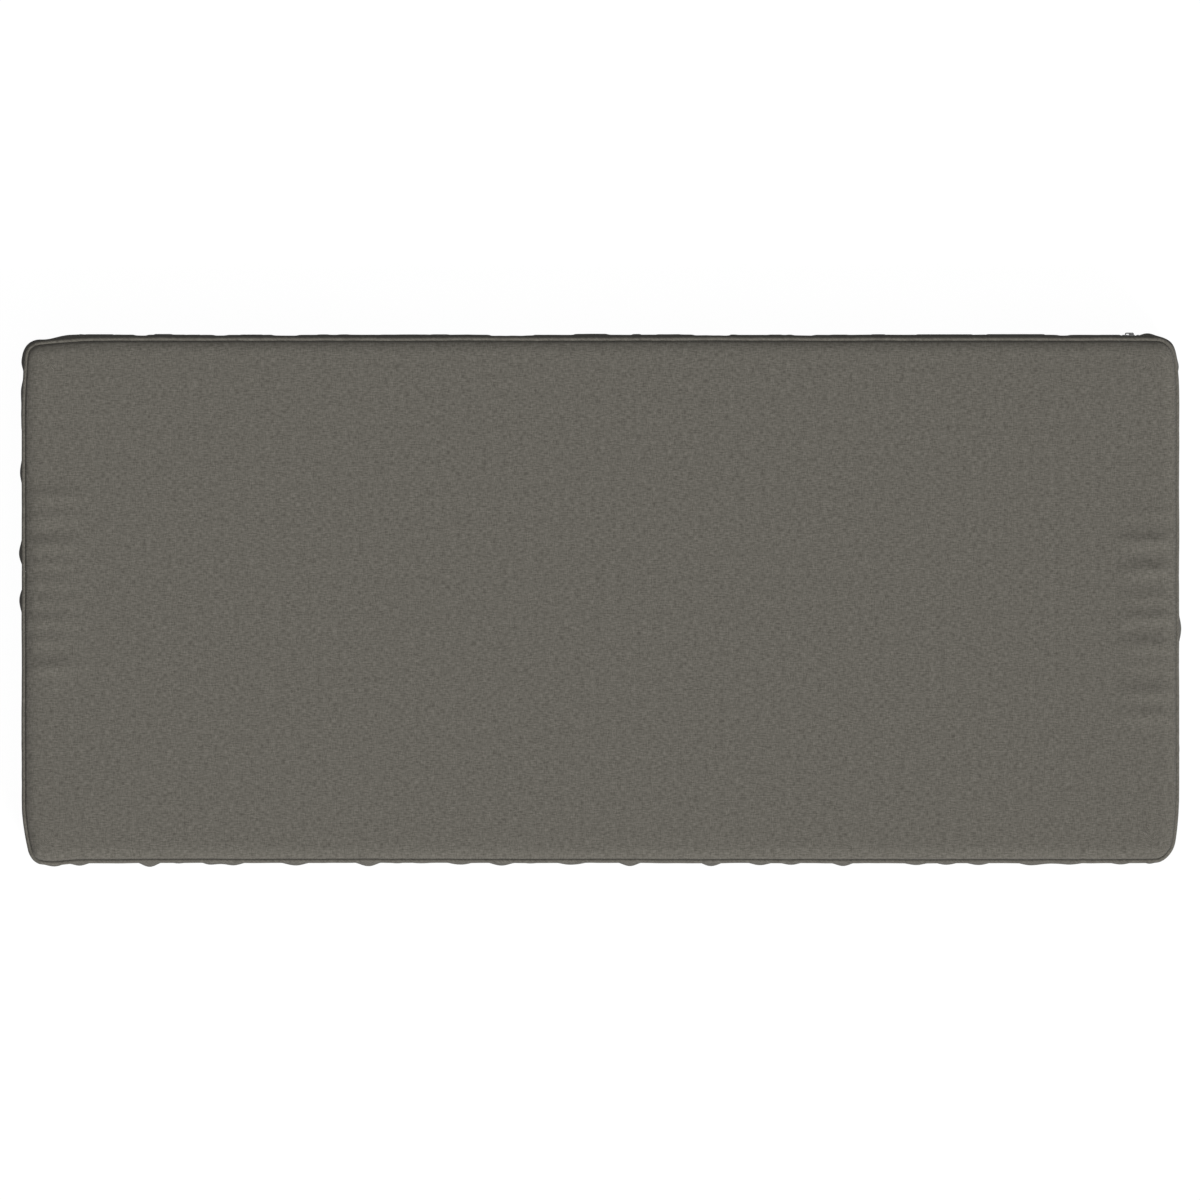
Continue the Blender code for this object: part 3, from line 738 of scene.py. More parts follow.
class ClothMesh:
    """Collects a cover's points and faces, with where each corner lies on the flat cloth and by the seams."""

    def __init__(self):
        self.points = []
        self.faces = []
        self.on_cloth = []
        self.by_seam = []

    def add_ring(self, places):
        first = len(self.points)
        self.points += places
        return list(range(first, len(self.points)))

    def join_rings(self, lower, upper, cloth, seam):
        """Quads between two rings. cloth and seam hold both rings' places there, round to the first again."""
        count = len(lower)
        for i in range(count):
            j = (i + 1) % count
            self.faces.append((lower[i], lower[j], upper[j], upper[i]))
            for layer, (low, high) in ((self.on_cloth, cloth), (self.by_seam, seam)):
                layer.extend((low[i], low[i + 1], high[i + 1], high[i]))

    def add_face(self, face, cloth, seam):
        self.faces.append(tuple(face))
        self.on_cloth += cloth
        self.by_seam += seam

    def to_object(self, name):
        mesh = bpy.data.meshes.new(name)
        mesh.from_pydata(self.points, [], self.faces)
        for layer_name, places in (("Cloth", self.on_cloth), ("Seam", self.by_seam)):
            layer = mesh.uv_layers.new(name=layer_name)
            layer.data.foreach_set("uv", [number for place in places for number in place])
        mesh.shade_smooth()
        mesh.validate()
        made = bpy.data.objects.new(name, mesh)
        bpy.context.scene.collection.objects.link(made)
        return made


def inset_place(x, y, inset):
    """A border place of the plain rectangle, moved inwards by inset."""
    return x * (1 - inset / HALF_LENGTH), y * (1 - inset / HALF_DEPTH)


def panel_place(x, y, shape):
    """A place of the plain rectangle, on the top panel."""
    place = rounded(x, y)
    from_seam = min(HALF_LENGTH - abs(x), HALF_DEPTH - abs(y))
    height = UPPER_SEAM.height + SEAT_RADIUS * math.sin(SEAT_ANGLES[0]) + panel_height(x, y)
    scallop = wavy(place, SCALLOP_SIZE, SCALLOP_SEED) * bell(from_seam - SCALLOP_AT, SCALLOP_SPREAD)
    height += PANEL_PUCKER * shape.seam_pucker * scallop
    inside = smooth((from_seam - PANEL_WAVE_FROM) / (PANEL_WAVE_FULL - PANEL_WAVE_FROM))
    height += PANEL_WAVE * wavy(place, PANEL_WAVE_SIZE, PANEL_SEED) * inside
    return (*drawn_in(*place), height)


def row_heights(station):
    """The heights of the boxing's rows above the zip's middle: set by the zip beside it, even elsewhere."""
    zip_rows = [-h for h in reversed(ZIP_ROWS)] + [0.0] + list(ZIP_ROWS)
    last = len(zip_rows) - 1
    top = ZIP_ROWS[-1]
    by_zip = zip_share(station.x, ROWS_EVEN_OUT) * max(0.0, station.normal_y)
    return [row * by_zip + (2 * top * k / last - top) * (1 - by_zip) for k, row in enumerate(zip_rows)]


def ride_up(station):
    """How much further up over the cord the panel's edge lies here."""
    left, right, front, back = RIDES_UP
    by_end = right if station.normal_x > 0 else left
    by_long = back if station.normal_y > 0 else front
    return by_end * station.normal_x ** 2 + by_long * station.normal_y ** 2


def seat_place(station, angle, seam, wander):
    """A point of the cloth where it lies round a cord, at this angle up from the cord's middle."""
    if angle == SEAT_ANGLES[0]:
        angle += ride_up(station)
    out = -SEAT_RADIUS * math.cos(angle) + seam_stray(station, seam, wander)
    place = station.seam + station.out * out
    return place.x, place.y, seam.height + seam.up * SEAT_RADIUS * math.sin(angle)


def underside_place(station, inset):
    start = SEAT_RADIUS * math.cos(SEAT_ANGLES[0])
    drop = LOWER_SEAM.height - SEAT_RADIUS * math.sin(SEAT_ANGLES[0])
    share = (inset - start) / (UNDERSIDE_ROLL - start)
    x, y = rounded(station.x, station.y)
    x, y = drawn_in(*inset_place(x, y, inset))
    return x, y, drop * max(0.0, 1 - share) ** ROLL_POWER


# A ring of the cover's points, with how far down the boxing's cloth each lies and how far from a seam. down
# is None on the top panel, which is a cloth of its own.
Ring = namedtuple("Ring", "places down away")


def seat_rings(border, angles, seam, from_lower, wander):
    """The rings of the cloth round a cord. from_lower gives how far down the cloth an angle lies."""
    count = len(border)
    rings = []
    for angle in angles:
        places = [seat_place(station, angle, seam, wander) for station in border]
        rings.append(Ring(places, [from_lower(SEAT_RADIUS * math.cos(angle))] * count, [0.0] * count))
    return rings


def boxing_rings(border, shape):
    """The rings of the boxing between the two cords, from the lowest up."""
    low = LOWER_SEAM.height + SEAT_RADIUS - ZIP_HEIGHT
    high = UPPER_SEAM.height - SEAT_RADIUS - ZIP_HEIGHT
    middle = BOXING_HEIGHT / 2
    rings = []
    for heights in zip(*(row_heights(station) for station in border)):
        places = [boxing_place(s, h, (h - low) / (high - low), shape) for s, h in zip(border, heights)]
        rings.append(Ring(places, [h + middle for h in heights], [middle - abs(h) for h in heights]))
    return rings


def cover_mesh(shape):
    """The filled cover as one closed skin, from the underside up over the boxing and the top panel."""
    border = stations()
    count = len(border)
    along = places_along(border)
    on_panel = [rounded(station.x, station.y) for station in border]

    def round_again(numbers):
        return numbers + numbers[:1]

    def flat(ring):
        """Where the points of a ring of the panel lie on the flat panel."""
        return round_again([inset_place(*place, ring.away[0]) for place in on_panel])

    rings = []
    for inset in reversed(UNDERSIDE_INSETS):
        rings.append(Ring([underside_place(s, inset) for s in border], [-inset] * count, [inset] * count))
    rings += seat_rings(border, SEAT_ANGLES, LOWER_SEAM, lambda out: -out, shape.wander)
    rings += boxing_rings(border, shape)
    rings += seat_rings(border, SEAT_ANGLES[::-1], UPPER_SEAM, lambda out: BOXING_HEIGHT + out, shape.wander)
    for inset in PANEL_INSETS:
        places = [panel_place(*inset_place(s.x, s.y, inset), shape) for s in border]
        rings.append(Ring(places, None, [inset] * count))

    skin = ClothMesh()
    made = [skin.add_ring(ring.places) for ring in rings]
    for k, pair in enumerate(zip(rings, rings[1:])):
        if pair[1].down is None:
            cloth = [flat(ring) for ring in pair]
        else:
            cloth = [list(zip(along, round_again(ring.down))) for ring in pair]
        seam = [list(zip(along, round_again(ring.away))) for ring in pair]
        skin.join_rings(made[k], made[k + 1], cloth, seam)

    add_panel_grid(skin, border, made[-1], shape)
    floor = made[0][::-1]
    on_floor = [(skin.points[p][0], -skin.points[p][1]) for p in floor]
    skin.add_face(floor, on_floor, [FAR_FROM_SEAMS] * count)
    return skin


def key_of(x, y):
    """A place as the key of a lookup, the same for places that differ only by rounding."""
    return round(x, 7), round(y, 7)


def add_panel_grid(skin, border, ring, shape):
    """The middle of the top panel as a grid, joined to the innermost ring, whose stations lie closer."""
    columns = grid_columns()
    rows = grid_rows()
    index = {}
    flat = {}
    for row, y in enumerate(rows):
        for column, x in enumerate(columns):
            place = inset_place(x, y, GRID_INSET)
            index[column, row] = len(skin.points)
            flat[column, row] = place
            skin.points.append(panel_place(*place, shape))
    last_column, last_row = len(columns) - 1, len(rows) - 1
    for row in range(last_row):
        for column in range(last_column):
            keys = ((column, row), (column + 1, row), (column + 1, row + 1), (column, row + 1))
            skin.add_face([index[k] for k in keys], [flat[k] for k in keys], [FAR_FROM_SEAMS] * 4)

    walk = [(c, 0) for c in range(last_column)] + [(last_column, r) for r in range(last_row)]
    walk += [(c, last_row) for c in range(last_column, 0, -1)] + [(0, r) for r in range(last_row, 0, -1)]
    at_station = {key_of(station.x, station.y): number for number, station in enumerate(border)}
    count = len(border)
    for here, following in zip(walk, walk[1:] + walk[:1]):
        start, end = (at_station[key_of(columns[c], rows[r])] for c, r in (here, following))
        if end <= start:
            end += count
        outer = [i % count for i in range(start, end + 1)]
        cloth = [inset_place(*rounded(border[i].x, border[i].y), PANEL_INSETS[-1]) for i in outer]
        cloth += [flat[following], flat[here]]
        face = [ring[i] for i in outer] + [index[following], index[here]]
        skin.add_face(face, cloth, [FAR_FROM_SEAMS] * len(cloth))


# ---------------------------------------------------------------- finishes


class Signal:
    """What a node puts out, which can be added to others and to numbers, or multiplied."""

    def __init__(self, finish, socket):
        self.finish = finish
        self.socket = socket

    def __add__(self, other):
        return self.finish.math("ADD", self, other)

    def __sub__(self, other):
        return self.finish.math("SUBTRACT", self, other)

    def __mul__(self, other):
        return self.finish.math("MULTIPLY", self, other)

    def __truediv__(self, number):
        return self * (1 / number)


class Finish:
    """A new material whose nodes are added and joined from left to right."""

    def __init__(self, name, **shader_values):
        self.material = bpy.data.materials.new(name)
        self.material.use_nodes = True
        self.tree = self.material.node_tree
        self.shader = self.tree.nodes["Principled BSDF"]
        for socket, value in shader_values.items():
            self.feed(value, self.shader.inputs[socket.replace("_", " ")])

    def feed(self, value, socket):
        if isinstance(value, Signal):
            self.tree.links.new(value.socket, socket)
        else:
            socket.default_value = value

    def node(self, kind, inputs=(), output=0, **settings):
        """Adds a node with its inputs, each under its number or name, and gives one of its outputs."""
        made = self.tree.nodes.new(kind)
        for setting, value in settings.items():
            setattr(made, setting, value)
        for socket, value in dict(inputs).items():
            self.feed(value, made.inputs[socket])
        return Signal(self, made.outputs[output])

    def math(self, operation, *values):
        return self.node("ShaderNodeMath", enumerate(values), operation=operation)

    def waves(self, turns):
        """Even waves from -1 to 1, one for each turn."""
        return self.math("SINE", turns * (2 * math.pi))

    def vector(self, *numbers):
        return self.node("ShaderNodeCombineXYZ", enumerate(numbers))

    def split(self, vector):
        parts = self.node("ShaderNodeSeparateXYZ", {0: vector}).socket.node.outputs
        return [Signal(self, part) for part in parts]

    def noise(self, vector, scale, detail=0.0, roughness=0.5):
        inputs = {"Vector": vector, "Scale": scale, "Detail": detail, "Roughness": roughness}
        return self.node("ShaderNodeTexNoise", inputs, "Fac")

    def between(self, value, stretch, onto):
        """Maps a stretch of the value onto another, cut off at both ends."""
        return self.node("ShaderNodeMapRange", enumerate((value, *stretch, *onto)))

    def mix(self, share, a, b):
        return self.node("ShaderNodeMix", {0: share, 6: a, 7: b}, 2, data_type="RGBA")

    def mix_number(self, share, a, b):
        return self.node("ShaderNodeMix", {0: share, 2: a, 3: b}, data_type="FLOAT")

    def shade(self, colour, share):
        """Multiplies a colour by a number."""
        return self.node("ShaderNodeVectorMath", {0: colour, "Scale": share}, operation="SCALE")

    def uv(self, name):
        return self.node("ShaderNodeUVMap", uv_map=name)

    def place(self):
        """The place on the finished piece, in metres."""
        return self.node("ShaderNodeTexCoord", output="Object")

    def turned(self, vector, angle):
        return self.node("ShaderNodeMapping", {"Vector": vector, "Rotation": (0, 0, angle)})

    def colour(self, value):
        self.feed(value, self.shader.inputs["Base Color"])

    def roughness(self, value):
        self.feed(value, self.shader.inputs["Roughness"])

    def bump(self, height, distance, strength):
        inputs = {"Strength": strength, "Distance": distance, "Height": height}
        self.feed(self.node("ShaderNodeBump", inputs), self.shader.inputs["Normal"])


def opaque(colour):
    return (*colour, 1.0)


def woven_cloth(name, cloth, turn=0.0, seams=False):
    """A plain weave of mottled yarns, which wander a little and change their shade along their length."""
    finish = Finish(name, Roughness=0.92, Specular_IOR_Level=0.25, Sheen_Weight=0.12, Sheen_Roughness=0.5)
    flat = finish.uv("Cloth")
    if turn:
        flat = finish.turned(flat, turn)
    across, down, _ = finish.split(flat)
    sway = (finish.noise(flat, 1 / SWAY_SIZE, 1.0) - 0.5) * cloth.sway
    warp = (across + sway) / cloth.warp_pitch
    weft = (down + sway * WEFT_SWAY) / cloth.weft_pitch
    warp_number = finish.math("FLOOR", warp)
    weft_number = finish.math("FLOOR", weft)

    def yarn_height(yarn, crossed, number, side):
        """The height of a yarn that bends over and under those that it crosses, up to 1 at its crests."""
        from_middle = finish.math("FRACT", yarn) * 2.0 - 1.0
        bulge = finish.math("SQRT", finish.math("SUBTRACT", 1.0, from_middle * from_middle))
        bend = finish.math("SINE", (crossed + number) * math.pi)
        return bulge * 0.5 + bend * (0.5 * side)

    warp_height = yarn_height(warp, weft, warp_number, 1)
    weft_height = yarn_height(weft, warp, weft_number, -1)
    over = finish.math("GREATER_THAN", warp_height, weft_height)
    height = finish.math("MAXIMUM", warp_height, weft_height)

    # From here on, for whichever yarn lies on top: its number, and the places along it and beside its middle
    along = finish.mix_number(over, across, down)
    beside = finish.mix_number(over, down, across)
    number = finish.mix_number(over, weft_number, warp_number)
    own = finish.vector(number * YARN_APART, along / cloth.streak, over * WARP_SEED)
    wide, slim = 1 / cloth.mottle, 4 / cloth.mottle
    level = finish.noise(finish.vector(across * wide, down * slim, LEVEL_SEED), 1.0)
    upright = finish.noise(finish.vector(across * slim, down * wide, UPRIGHT_SEED), 1.0)
    shared = finish.mix_number(cloth.level, upright, level)
    tone = finish.mix_number(cloth.mottled, finish.noise(own, 1.0, 1.0, 0.6), shared)
    cloud = (finish.noise(flat, 1 / CLOUD_SIZE) - 0.5) * CLOUD_SHADE
    lint_length, lint_width = LINT_SIZE
    lint = finish.noise(finish.vector(along / lint_length, beside / lint_width), 1.0, 2.0, 0.6)
    ply_length, ply_width = PLY_SIZE
    plies = finish.waves(along / ply_length + beside / ply_width)
    # The plies add painted shade in their grooves and a painted highlight on their crests, following their
    # bump
    tone = tone + cloud + ((lint - 0.5) * LINT_SHADE + plies * PLY_PAINTED_SHADE)
    colour = finish.mix(finish.between(tone, TONES, (0, 1)), opaque(cloth.dark), opaque(cloth.light))
    # Painted shade: by its height, the colour is darkened between the yarns and lightened into a painted
    # highlight on their crests
    finish.colour(finish.shade(colour, finish.between(height, YARN_PAINTED_SHADE_HEIGHTS, YARN_PAINTED_SHADE_AND_HIGHLIGHT)))

    relief = height + (lint * LINT_RELIEF + plies * PLY_RELIEF)
    if seams:
        by_seam, away, _ = finish.split(finish.uv("Seam"))
        stitch = finish.math("COSINE", by_seam * (2 * math.pi / SEAM_STITCH))
        close = finish.math("EXPONENT", away / -SEAM_STITCH_FADE)
        relief = relief + stitch * close * SEAM_RELIEF
    finish.bump(relief, YARN_RELIEF, 0.8)
    return finish.material


def tape_cloth(name, colour):
    """Tightly woven tape: fine ribs across it, and a faint sheen."""
    finish = Finish(name, Roughness=0.85, Specular_IOR_Level=0.3, Sheen_Weight=0.1)
    place = finish.place()
    across, _, up = finish.split(place)
    lint = finish.noise(place, 2400.0, 2.0, 0.6)
    finish.colour(finish.shade(colour, finish.between(lint, (0.3, 0.75), (0.7, 1.5))))
    finish.bump(finish.waves(across / TAPE_RIB) + finish.waves(up / TAPE_YARN) * 0.5, 0.06 * MM, 0.7)
    return finish.material


def nylon(name, colour):
    """Drawn nylon with a soft gloss, rubbed a little duller here and there."""
    finish = Finish(name, Specular_IOR_Level=0.5)
    place = finish.place()
    rubbed = finish.noise(place, 160.0, 3.0, 0.6)
    finish.colour(finish.shade(colour, finish.between(rubbed, (0.3, 0.8), (0.8, 1.5))))
    finish.roughness(finish.between(rubbed, (0.3, 0.7), (0.32, 0.55)))
    finish.bump(finish.noise(place, 5200.0, 1.0), 0.015 * MM, 0.6)
    return finish.material


def plated_metal(name, colour):
    """Dark plated metal, brushed along the zip and scuffed by use."""
    finish = Finish(name, Metallic=1.0)
    place = finish.place()
    along, out, up = finish.split(place)
    brushed = finish.noise(finish.vector(along * 0.06, out, up), 9000.0, 2.0, 0.6)
    scuffed = finish.noise(place, 700.0, 3.0, 0.65)
    finish.colour(finish.shade(colour, finish.between(scuffed, (0.4, 0.75), (0.85, 1.7))))
    finish.roughness(finish.between(brushed + scuffed, (0.7, 1.3), (0.28, 0.48)))
    finish.bump(brushed, 0.012 * MM, 0.5)
    return finish.material


def sewing_thread(name, colour):
    """Thread of three plies, whose twist shows as slanted lines in its bump and as painted shade in the
    grooves between plies.
    """
    finish = Finish(name, Roughness=0.75, Specular_IOR_Level=0.35, Sheen_Weight=0.15)
    place = finish.place()
    along, out, up = finish.split(place)
    ply = finish.waves((along + up * 0.8 + out * 0.8) / THREAD_TWIST)
    fibre = finish.noise(place, 3000.0, 2.0, 0.6)
    # Painted shade in the grooves between plies and a painted highlight on their crests, mixed with the
    # fibres' own tone
    finish.colour(finish.shade(colour, finish.between(ply + fibre, (-1.0, 1.8), (0.7, 1.25))))
    finish.bump(ply, 0.05 * MM, 0.7)
    return finish.material


# ---------------------------------------------------------------- building steps


def deselect_all():
    if bpy.context.object and bpy.context.object.mode != "OBJECT":
        bpy.ops.object.mode_set(mode="OBJECT")
    bpy.ops.object.select_all(action="DESELECT")


def pick(*pieces):
    """Selects these pieces alone, and makes the first one active."""
    deselect_all()
    for piece in pieces:
        piece.select_set(True)
    bpy.context.view_layer.objects.active = pieces[0]


def dress(piece, material, slot_name, *nodes):
    """Gives a finished piece its material, and lets it stand for the solids that it dresses."""
    piece.data.materials.clear()
    piece.data.materials.append(material)
    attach(piece, "root")
    if nodes:
        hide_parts(*nodes)


def cord_mesh(name, seam, wander):
    """A cloth-covered cord along a seam, slightly uneven, as a closed tube."""
    border = stations()
    radii = []
    for station in border:
        lumps = sum(share * wavy(station.seam, size, seam.seed + seed) for share, size, seed in CORD_LUMPS)
        radii.append(CORD_RADIUS * (1 + lumps))
    skin = ClothMesh()
    rings = []
    for k in range(CORD_SIDES):
        angle = 2 * math.pi * k / CORD_SIDES
        places = []
        for station, radius in zip(border, radii):
            out = seam_stray(station, seam, wander) + radius * math.cos(angle)
            place = station.seam + station.out * out
            places.append((place.x, place.y, seam.height + radius * math.sin(angle)))
        rings.append(skin.add_ring(places))
    along = places_along(border)
    side_width = 2 * math.pi * CORD_RADIUS / CORD_SIDES
    by_seam = [[(place, 0.0) for place in along]] * 2
    for k in range(CORD_SIDES):
        cloth = [[(place, side * side_width) for place in along] for side in (k, k + 1)]
        skin.join_rings(rings[k], rings[(k + 1) % CORD_SIDES], cloth, by_seam)
    return skin.to_object(name)


class CUSHION_OT_cover(bpy.types.Operator):
    """Makes the filled cover with its folds, and weaves its cloth"""

    bl_idname = "cushion.cover"
    bl_label = "Make cover"

    def execute(self, context):
        shape = context.scene.cushion_cover
        cover = cover_mesh(shape).to_object("cover")
        cloth = woven_cloth("cover_cloth", context.scene.cushion_cloth, seams=True)
        dress(cover, cloth, "cover_cloth", "cushion")
        return {"FINISHED"}


class CUSHION_OT_piping(bpy.types.Operator):
    """Lays a cloth-covered cord in both seams"""

    bl_idname = "cushion.piping"
    bl_label = "Make piping"

    def execute(self, context):
        wander = context.scene.cushion_cover.wander
        cloth = woven_cloth("piping_cloth", context.scene.cushion_cloth, turn=math.radians(45))
        upper = cord_mesh("piping_upper", UPPER_SEAM, wander)
        dress(upper, cloth, "piping_cloth", "piping_top")
        lower = cord_mesh("piping_lower", LOWER_SEAM, wander)
        dress(lower, cloth, "piping_cloth", "piping_bottom")
        return {"FINISHED"}


def add_block(low, high):
    """A new box between two corners, with its size and place in its mesh."""
    deselect_all()
    low, high = Vector(low), Vector(high)
    bpy.ops.mesh.primitive_cube_add(size=1, location=(low + high) / 2, scale=high - low)
    bpy.ops.object.transform_apply(location=True, rotation=True, scale=True)
    return bpy.context.object


@contextmanager
def opened(piece, kind, parts, wanted):
    """Opens a piece for editing, with those of its edges or faces selected that are wanted."""
    pick(piece)
    bpy.ops.object.mode_set(mode="EDIT")
    bpy.ops.mesh.select_mode(type=kind)
    bpy.ops.mesh.select_all(action="DESELECT")
    bpy.ops.object.mode_set(mode="OBJECT")
    for part in getattr(piece.data, parts):
        part.select = wanted(part)
    bpy.ops.object.mode_set(mode="EDIT")
    yield
    bpy.ops.object.mode_set(mode="OBJECT")


def edges_of(piece, wanted):
    """Opens a piece with the edges selected for which wanted is true of their two ends."""
    return opened(piece, "EDGE", "edges", lambda e: wanted(*(piece.data.vertices[v].co for v in e.vertices)))


def faces_of(piece, wanted):
    """Opens a piece with the faces selected for which wanted is true of their middle and normal."""
    return opened(piece, "FACE", "polygons", lambda face: wanted(face.center, face.normal))


def runs_along(start, end):
    """Whether an edge runs along the zip."""
    return abs(start.x - end.x) > abs(start.z - end.z) + abs(start.y - end.y)


def apply_modifier(piece, kind, **settings):
    """Finishes a piece with a modifier, and applies it."""
    pick(piece)
    bpy.ops.object.modifier_add(type=kind)
    modifier = piece.modifiers[-1]
    for setting, value in settings.items():
        setattr(modifier, setting, value)
    bpy.ops.object.modifier_apply(modifier=modifier.name)


def joined(name, pieces):
    """Joins pieces whose places are in their meshes into one, and smooths its rounded edges."""
    pick(*pieces)
    if len(pieces) > 1:
        bpy.ops.object.join()
    pieces[0].name = name
    bpy.ops.object.shade_smooth_by_angle(angle=SMOOTH_BELOW)
    return pieces[0]


def repeated(piece, step, count):
    """Repeats a piece along the step."""
    apply_modifier(
        piece,
        "ARRAY",
        count=count,
        use_relative_offset=False,
        use_constant_offset=True,
        constant_offset_displace=step,
    )
    return piece


def wave_with_zip(piece):
    """Moves a piece of the zip out and in with the chain, as the boxing round it does."""
    for point in piece.data.vertices:
        point.co.y += chain_wave(point.co.x)
    return piece


def zip_tape():
    """The woven tape behind the teeth, a little thicker along its rim."""
    piece = add_block(*TAPE_BOX)
    for cuts in TAPE_CUTS:
        with edges_of(piece, runs_along):
            bpy.ops.mesh.subdivide(number_cuts=cuts)
    with faces_of(piece, lambda middle, normal: normal.y > 0.5):
        bpy.ops.mesh.inset(thickness=TAPE_RIM, depth=-TAPE_GROOVE)
    return wave_with_zip(joined("tape", [piece]))


def zip_tooth(x, side):
    """One turn of the coil: a rounded bar, wide at the chain's edge and slim where the two rows lock."""
    low, high = TEETH_BOX
    head = ZIP_HEIGHT - side * TOOTH_PAST_MIDDLE
    edge = ZIP_HEIGHT + side * (high.z - low.z) / 2
    piece = add_block(
        (x - TOOTH_WIDTH / 2, low.y, min(head, edge)),
        (x + TOOTH_WIDTH / 2, high.y, max(head, edge)),
    )
    with faces_of(piece, lambda middle, normal: normal.z * side < -0.5):
        bpy.ops.transform.resize(value=TOOTH_HEAD)
    apply_modifier(piece, "BEVEL", width=TOOTH_EASING, segments=1, limit_method="ANGLE")
    return piece


def zip_coil(pitch):
    """Two rows of teeth that lock into each other, half a pitch apart."""
    low, high = TEETH_BOX
    first = low.x + TOOTH_WIDTH
    count = int((high.x - low.x - 2 * TOOTH_WIDTH) / pitch)
    upper = repeated(zip_tooth(first, 1), (pitch, 0, 0), count)
    lower = repeated(zip_tooth(first + pitch / 2, -1), (pitch, 0, 0), count)
    return wave_with_zip(joined("coil", [upper, lower]))


def slider_arch(near, top):
    """The small bow on the slider's plate, open at its left half."""
    low, high = SLIDER_BOX
    at = (low.x + high.x) / 2 + ARCH_AT
    arch = add_block(
        (at - ARCH_LENGTH / 2, near, ZIP_HEIGHT - ARCH_WIDTH / 2),
        (at + ARCH_LENGTH / 2, top, ZIP_HEIGHT + ARCH_WIDTH / 2),
    )
    with edges_of(arch, lambda start, end: abs(start.z - end.z) > GAP and start.y > near + GAP):
        bpy.ops.mesh.bevel(offset=ARCH_ROUND, segments=6)
    window = add_block(
        (at + ARCH_WINDOW[0], near - GAP, ZIP_HEIGHT - ARCH_WIDTH),
        (at + ARCH_WINDOW[1], top - ARCH_BAR, ZIP_HEIGHT + ARCH_WIDTH),
    )
    with edges_of(window, lambda start, end: abs(start.z - end.z) > GAP and start.y > near):
        bpy.ops.mesh.bevel(offset=ARCH_WINDOW_ROUND, segments=3)
    apply_modifier(arch, "BOOLEAN", operation="DIFFERENCE", object=window)
    bpy.data.objects.remove(window)
    return arch


def zip_slider():
    """A plate over the teeth that narrows towards its tail, with a wall down each side and the bow on it."""
    low, high = SLIDER_BOX
    moved = chain_wave((low.x + high.x) / 2)
    foot = low.y + moved
    inner = TEETH_BOX[1].y + moved + RUNNING_GAP
    outer = inner + PLATE_WALL
    inside = (high.z - low.z) / 2 - FLANGE_WALL
    plate = add_block((low.x, inner, low.z), (high.x, outer, high.z))
    with edges_of(plate, lambda start, end: abs(start.y - end.y) > GAP):
        bpy.ops.mesh.bevel(offset=PLATE_CORNER, segments=4)
    with faces_of(plate, lambda middle, normal: normal.y < -0.5):
        bpy.ops.mesh.inset(thickness=FLANGE_WALL, depth=0.0)
    with faces_of(plate, lambda middle, normal: normal.y < -0.5 and abs(middle.z - ZIP_HEIGHT) > inside):
        bpy.ops.mesh.extrude_region_move(TRANSFORM_OT_translate={"value": (0, foot - inner, 0)})
    with faces_of(plate, lambda middle, normal: normal.x < -0.95):
        bpy.ops.transform.resize(value=(1, 1, TAIL_SHARE))
    arch = slider_arch(outer - RUNNING_GAP, high.y)
    apply_modifier(plate, "BOOLEAN", operation="UNION", object=arch)
    bpy.data.objects.remove(arch)
    apply_modifier(plate, "BEVEL", width=SLIDER_EASING, segments=2, limit_method="ANGLE")
    return joined("slider", [plate])


def stitch_row(start, step, count):
    """A row of stitches: each is a short length of thread that dips into the cloth at both its ends."""
    deselect_all()
    turn = math.radians(90) if step[0] else 0.0
    bpy.ops.mesh.primitive_uv_sphere_add(
        segments=8,
        ring_count=6,
        radius=1,
        location=start,
        rotation=(0, turn, 0),
        scale=(THREAD_RADIUS, THREAD_RADIUS, STITCH_LENGTH / 2),
    )
    bpy.ops.object.transform_apply(location=True, rotation=True, scale=True)
    return repeated(bpy.context.object, step, count)


def topstitching():
    """A rectangle of stitches round the zip, made in one plane."""
    left, right = ZIP_LEFT - STITCH_END, ZIP_RIGHT + STITCH_END
    count = round((right - left) / STITCH_PITCH)
    pitch = (right - left) / count
    rows = []
    for side in (-1, 1):
        start = (left + pitch / 2, 0, ZIP_HEIGHT + side * STITCH_ROW)
        rows.append(stitch_row(start, (pitch, 0, 0), count))
    short_count = round(2 * STITCH_ROW / STITCH_PITCH)
    short_pitch = 2 * STITCH_ROW / short_count
    for x in (left, right):
        start = (x, 0, ZIP_HEIGHT - STITCH_ROW + short_pitch / 2)
        rows.append(stitch_row(start, (0, 0, short_pitch), short_count))
    return joined("topstitching", rows)


def lay_on_boxing(piece, cover):
    """Lays a piece that was made in one plane on the back boxing, point by point."""
    tree = BVHTree.FromObject(cover, bpy.context.evaluated_depsgraph_get())
    towards_cushion = Vector((0, -1, 0))
    for point in piece.data.vertices:
        behind = Vector((point.co.x, 2 * HALF_DEPTH, point.co.z))
        found = tree.ray_cast(behind, towards_cushion)[0]
        point.co.y += found.y


class CUSHION_OT_zip(bpy.types.Operator):
    """Makes the zip: its tape, its two rows of teeth and its slider"""

    bl_idname = "cushion.zip"
    bl_label = "Make zip"

    def execute(self, context):
        look = context.scene.cushion_zip
        dress(zip_tape(), tape_cloth("zip_tape_cloth", look.tape), "zip_tape", "zip_tape")
        dress(zip_coil(look.tooth_pitch), nylon("zip_coil", look.teeth), "zip_teeth", "zip_teeth")
        dress(zip_slider(), plated_metal("zip_slider_metal", look.metal), "zip_slider", "zip_slider")
        return {"FINISHED"}


class CUSHION_OT_stitching(bpy.types.Operator):
    """Sews the rows of topstitching that hold the zip in the back boxing"""

    bl_idname = "cushion.stitching"
    bl_label = "Make topstitching"

    def execute(self, context):
        rows = topstitching()
        lay_on_boxing(rows, context.scene.objects["cover"])
        dress(rows, sewing_thread("sewing_thread", context.scene.cushion_zip.thread), "cover_cloth")
        return {"FINISHED"}


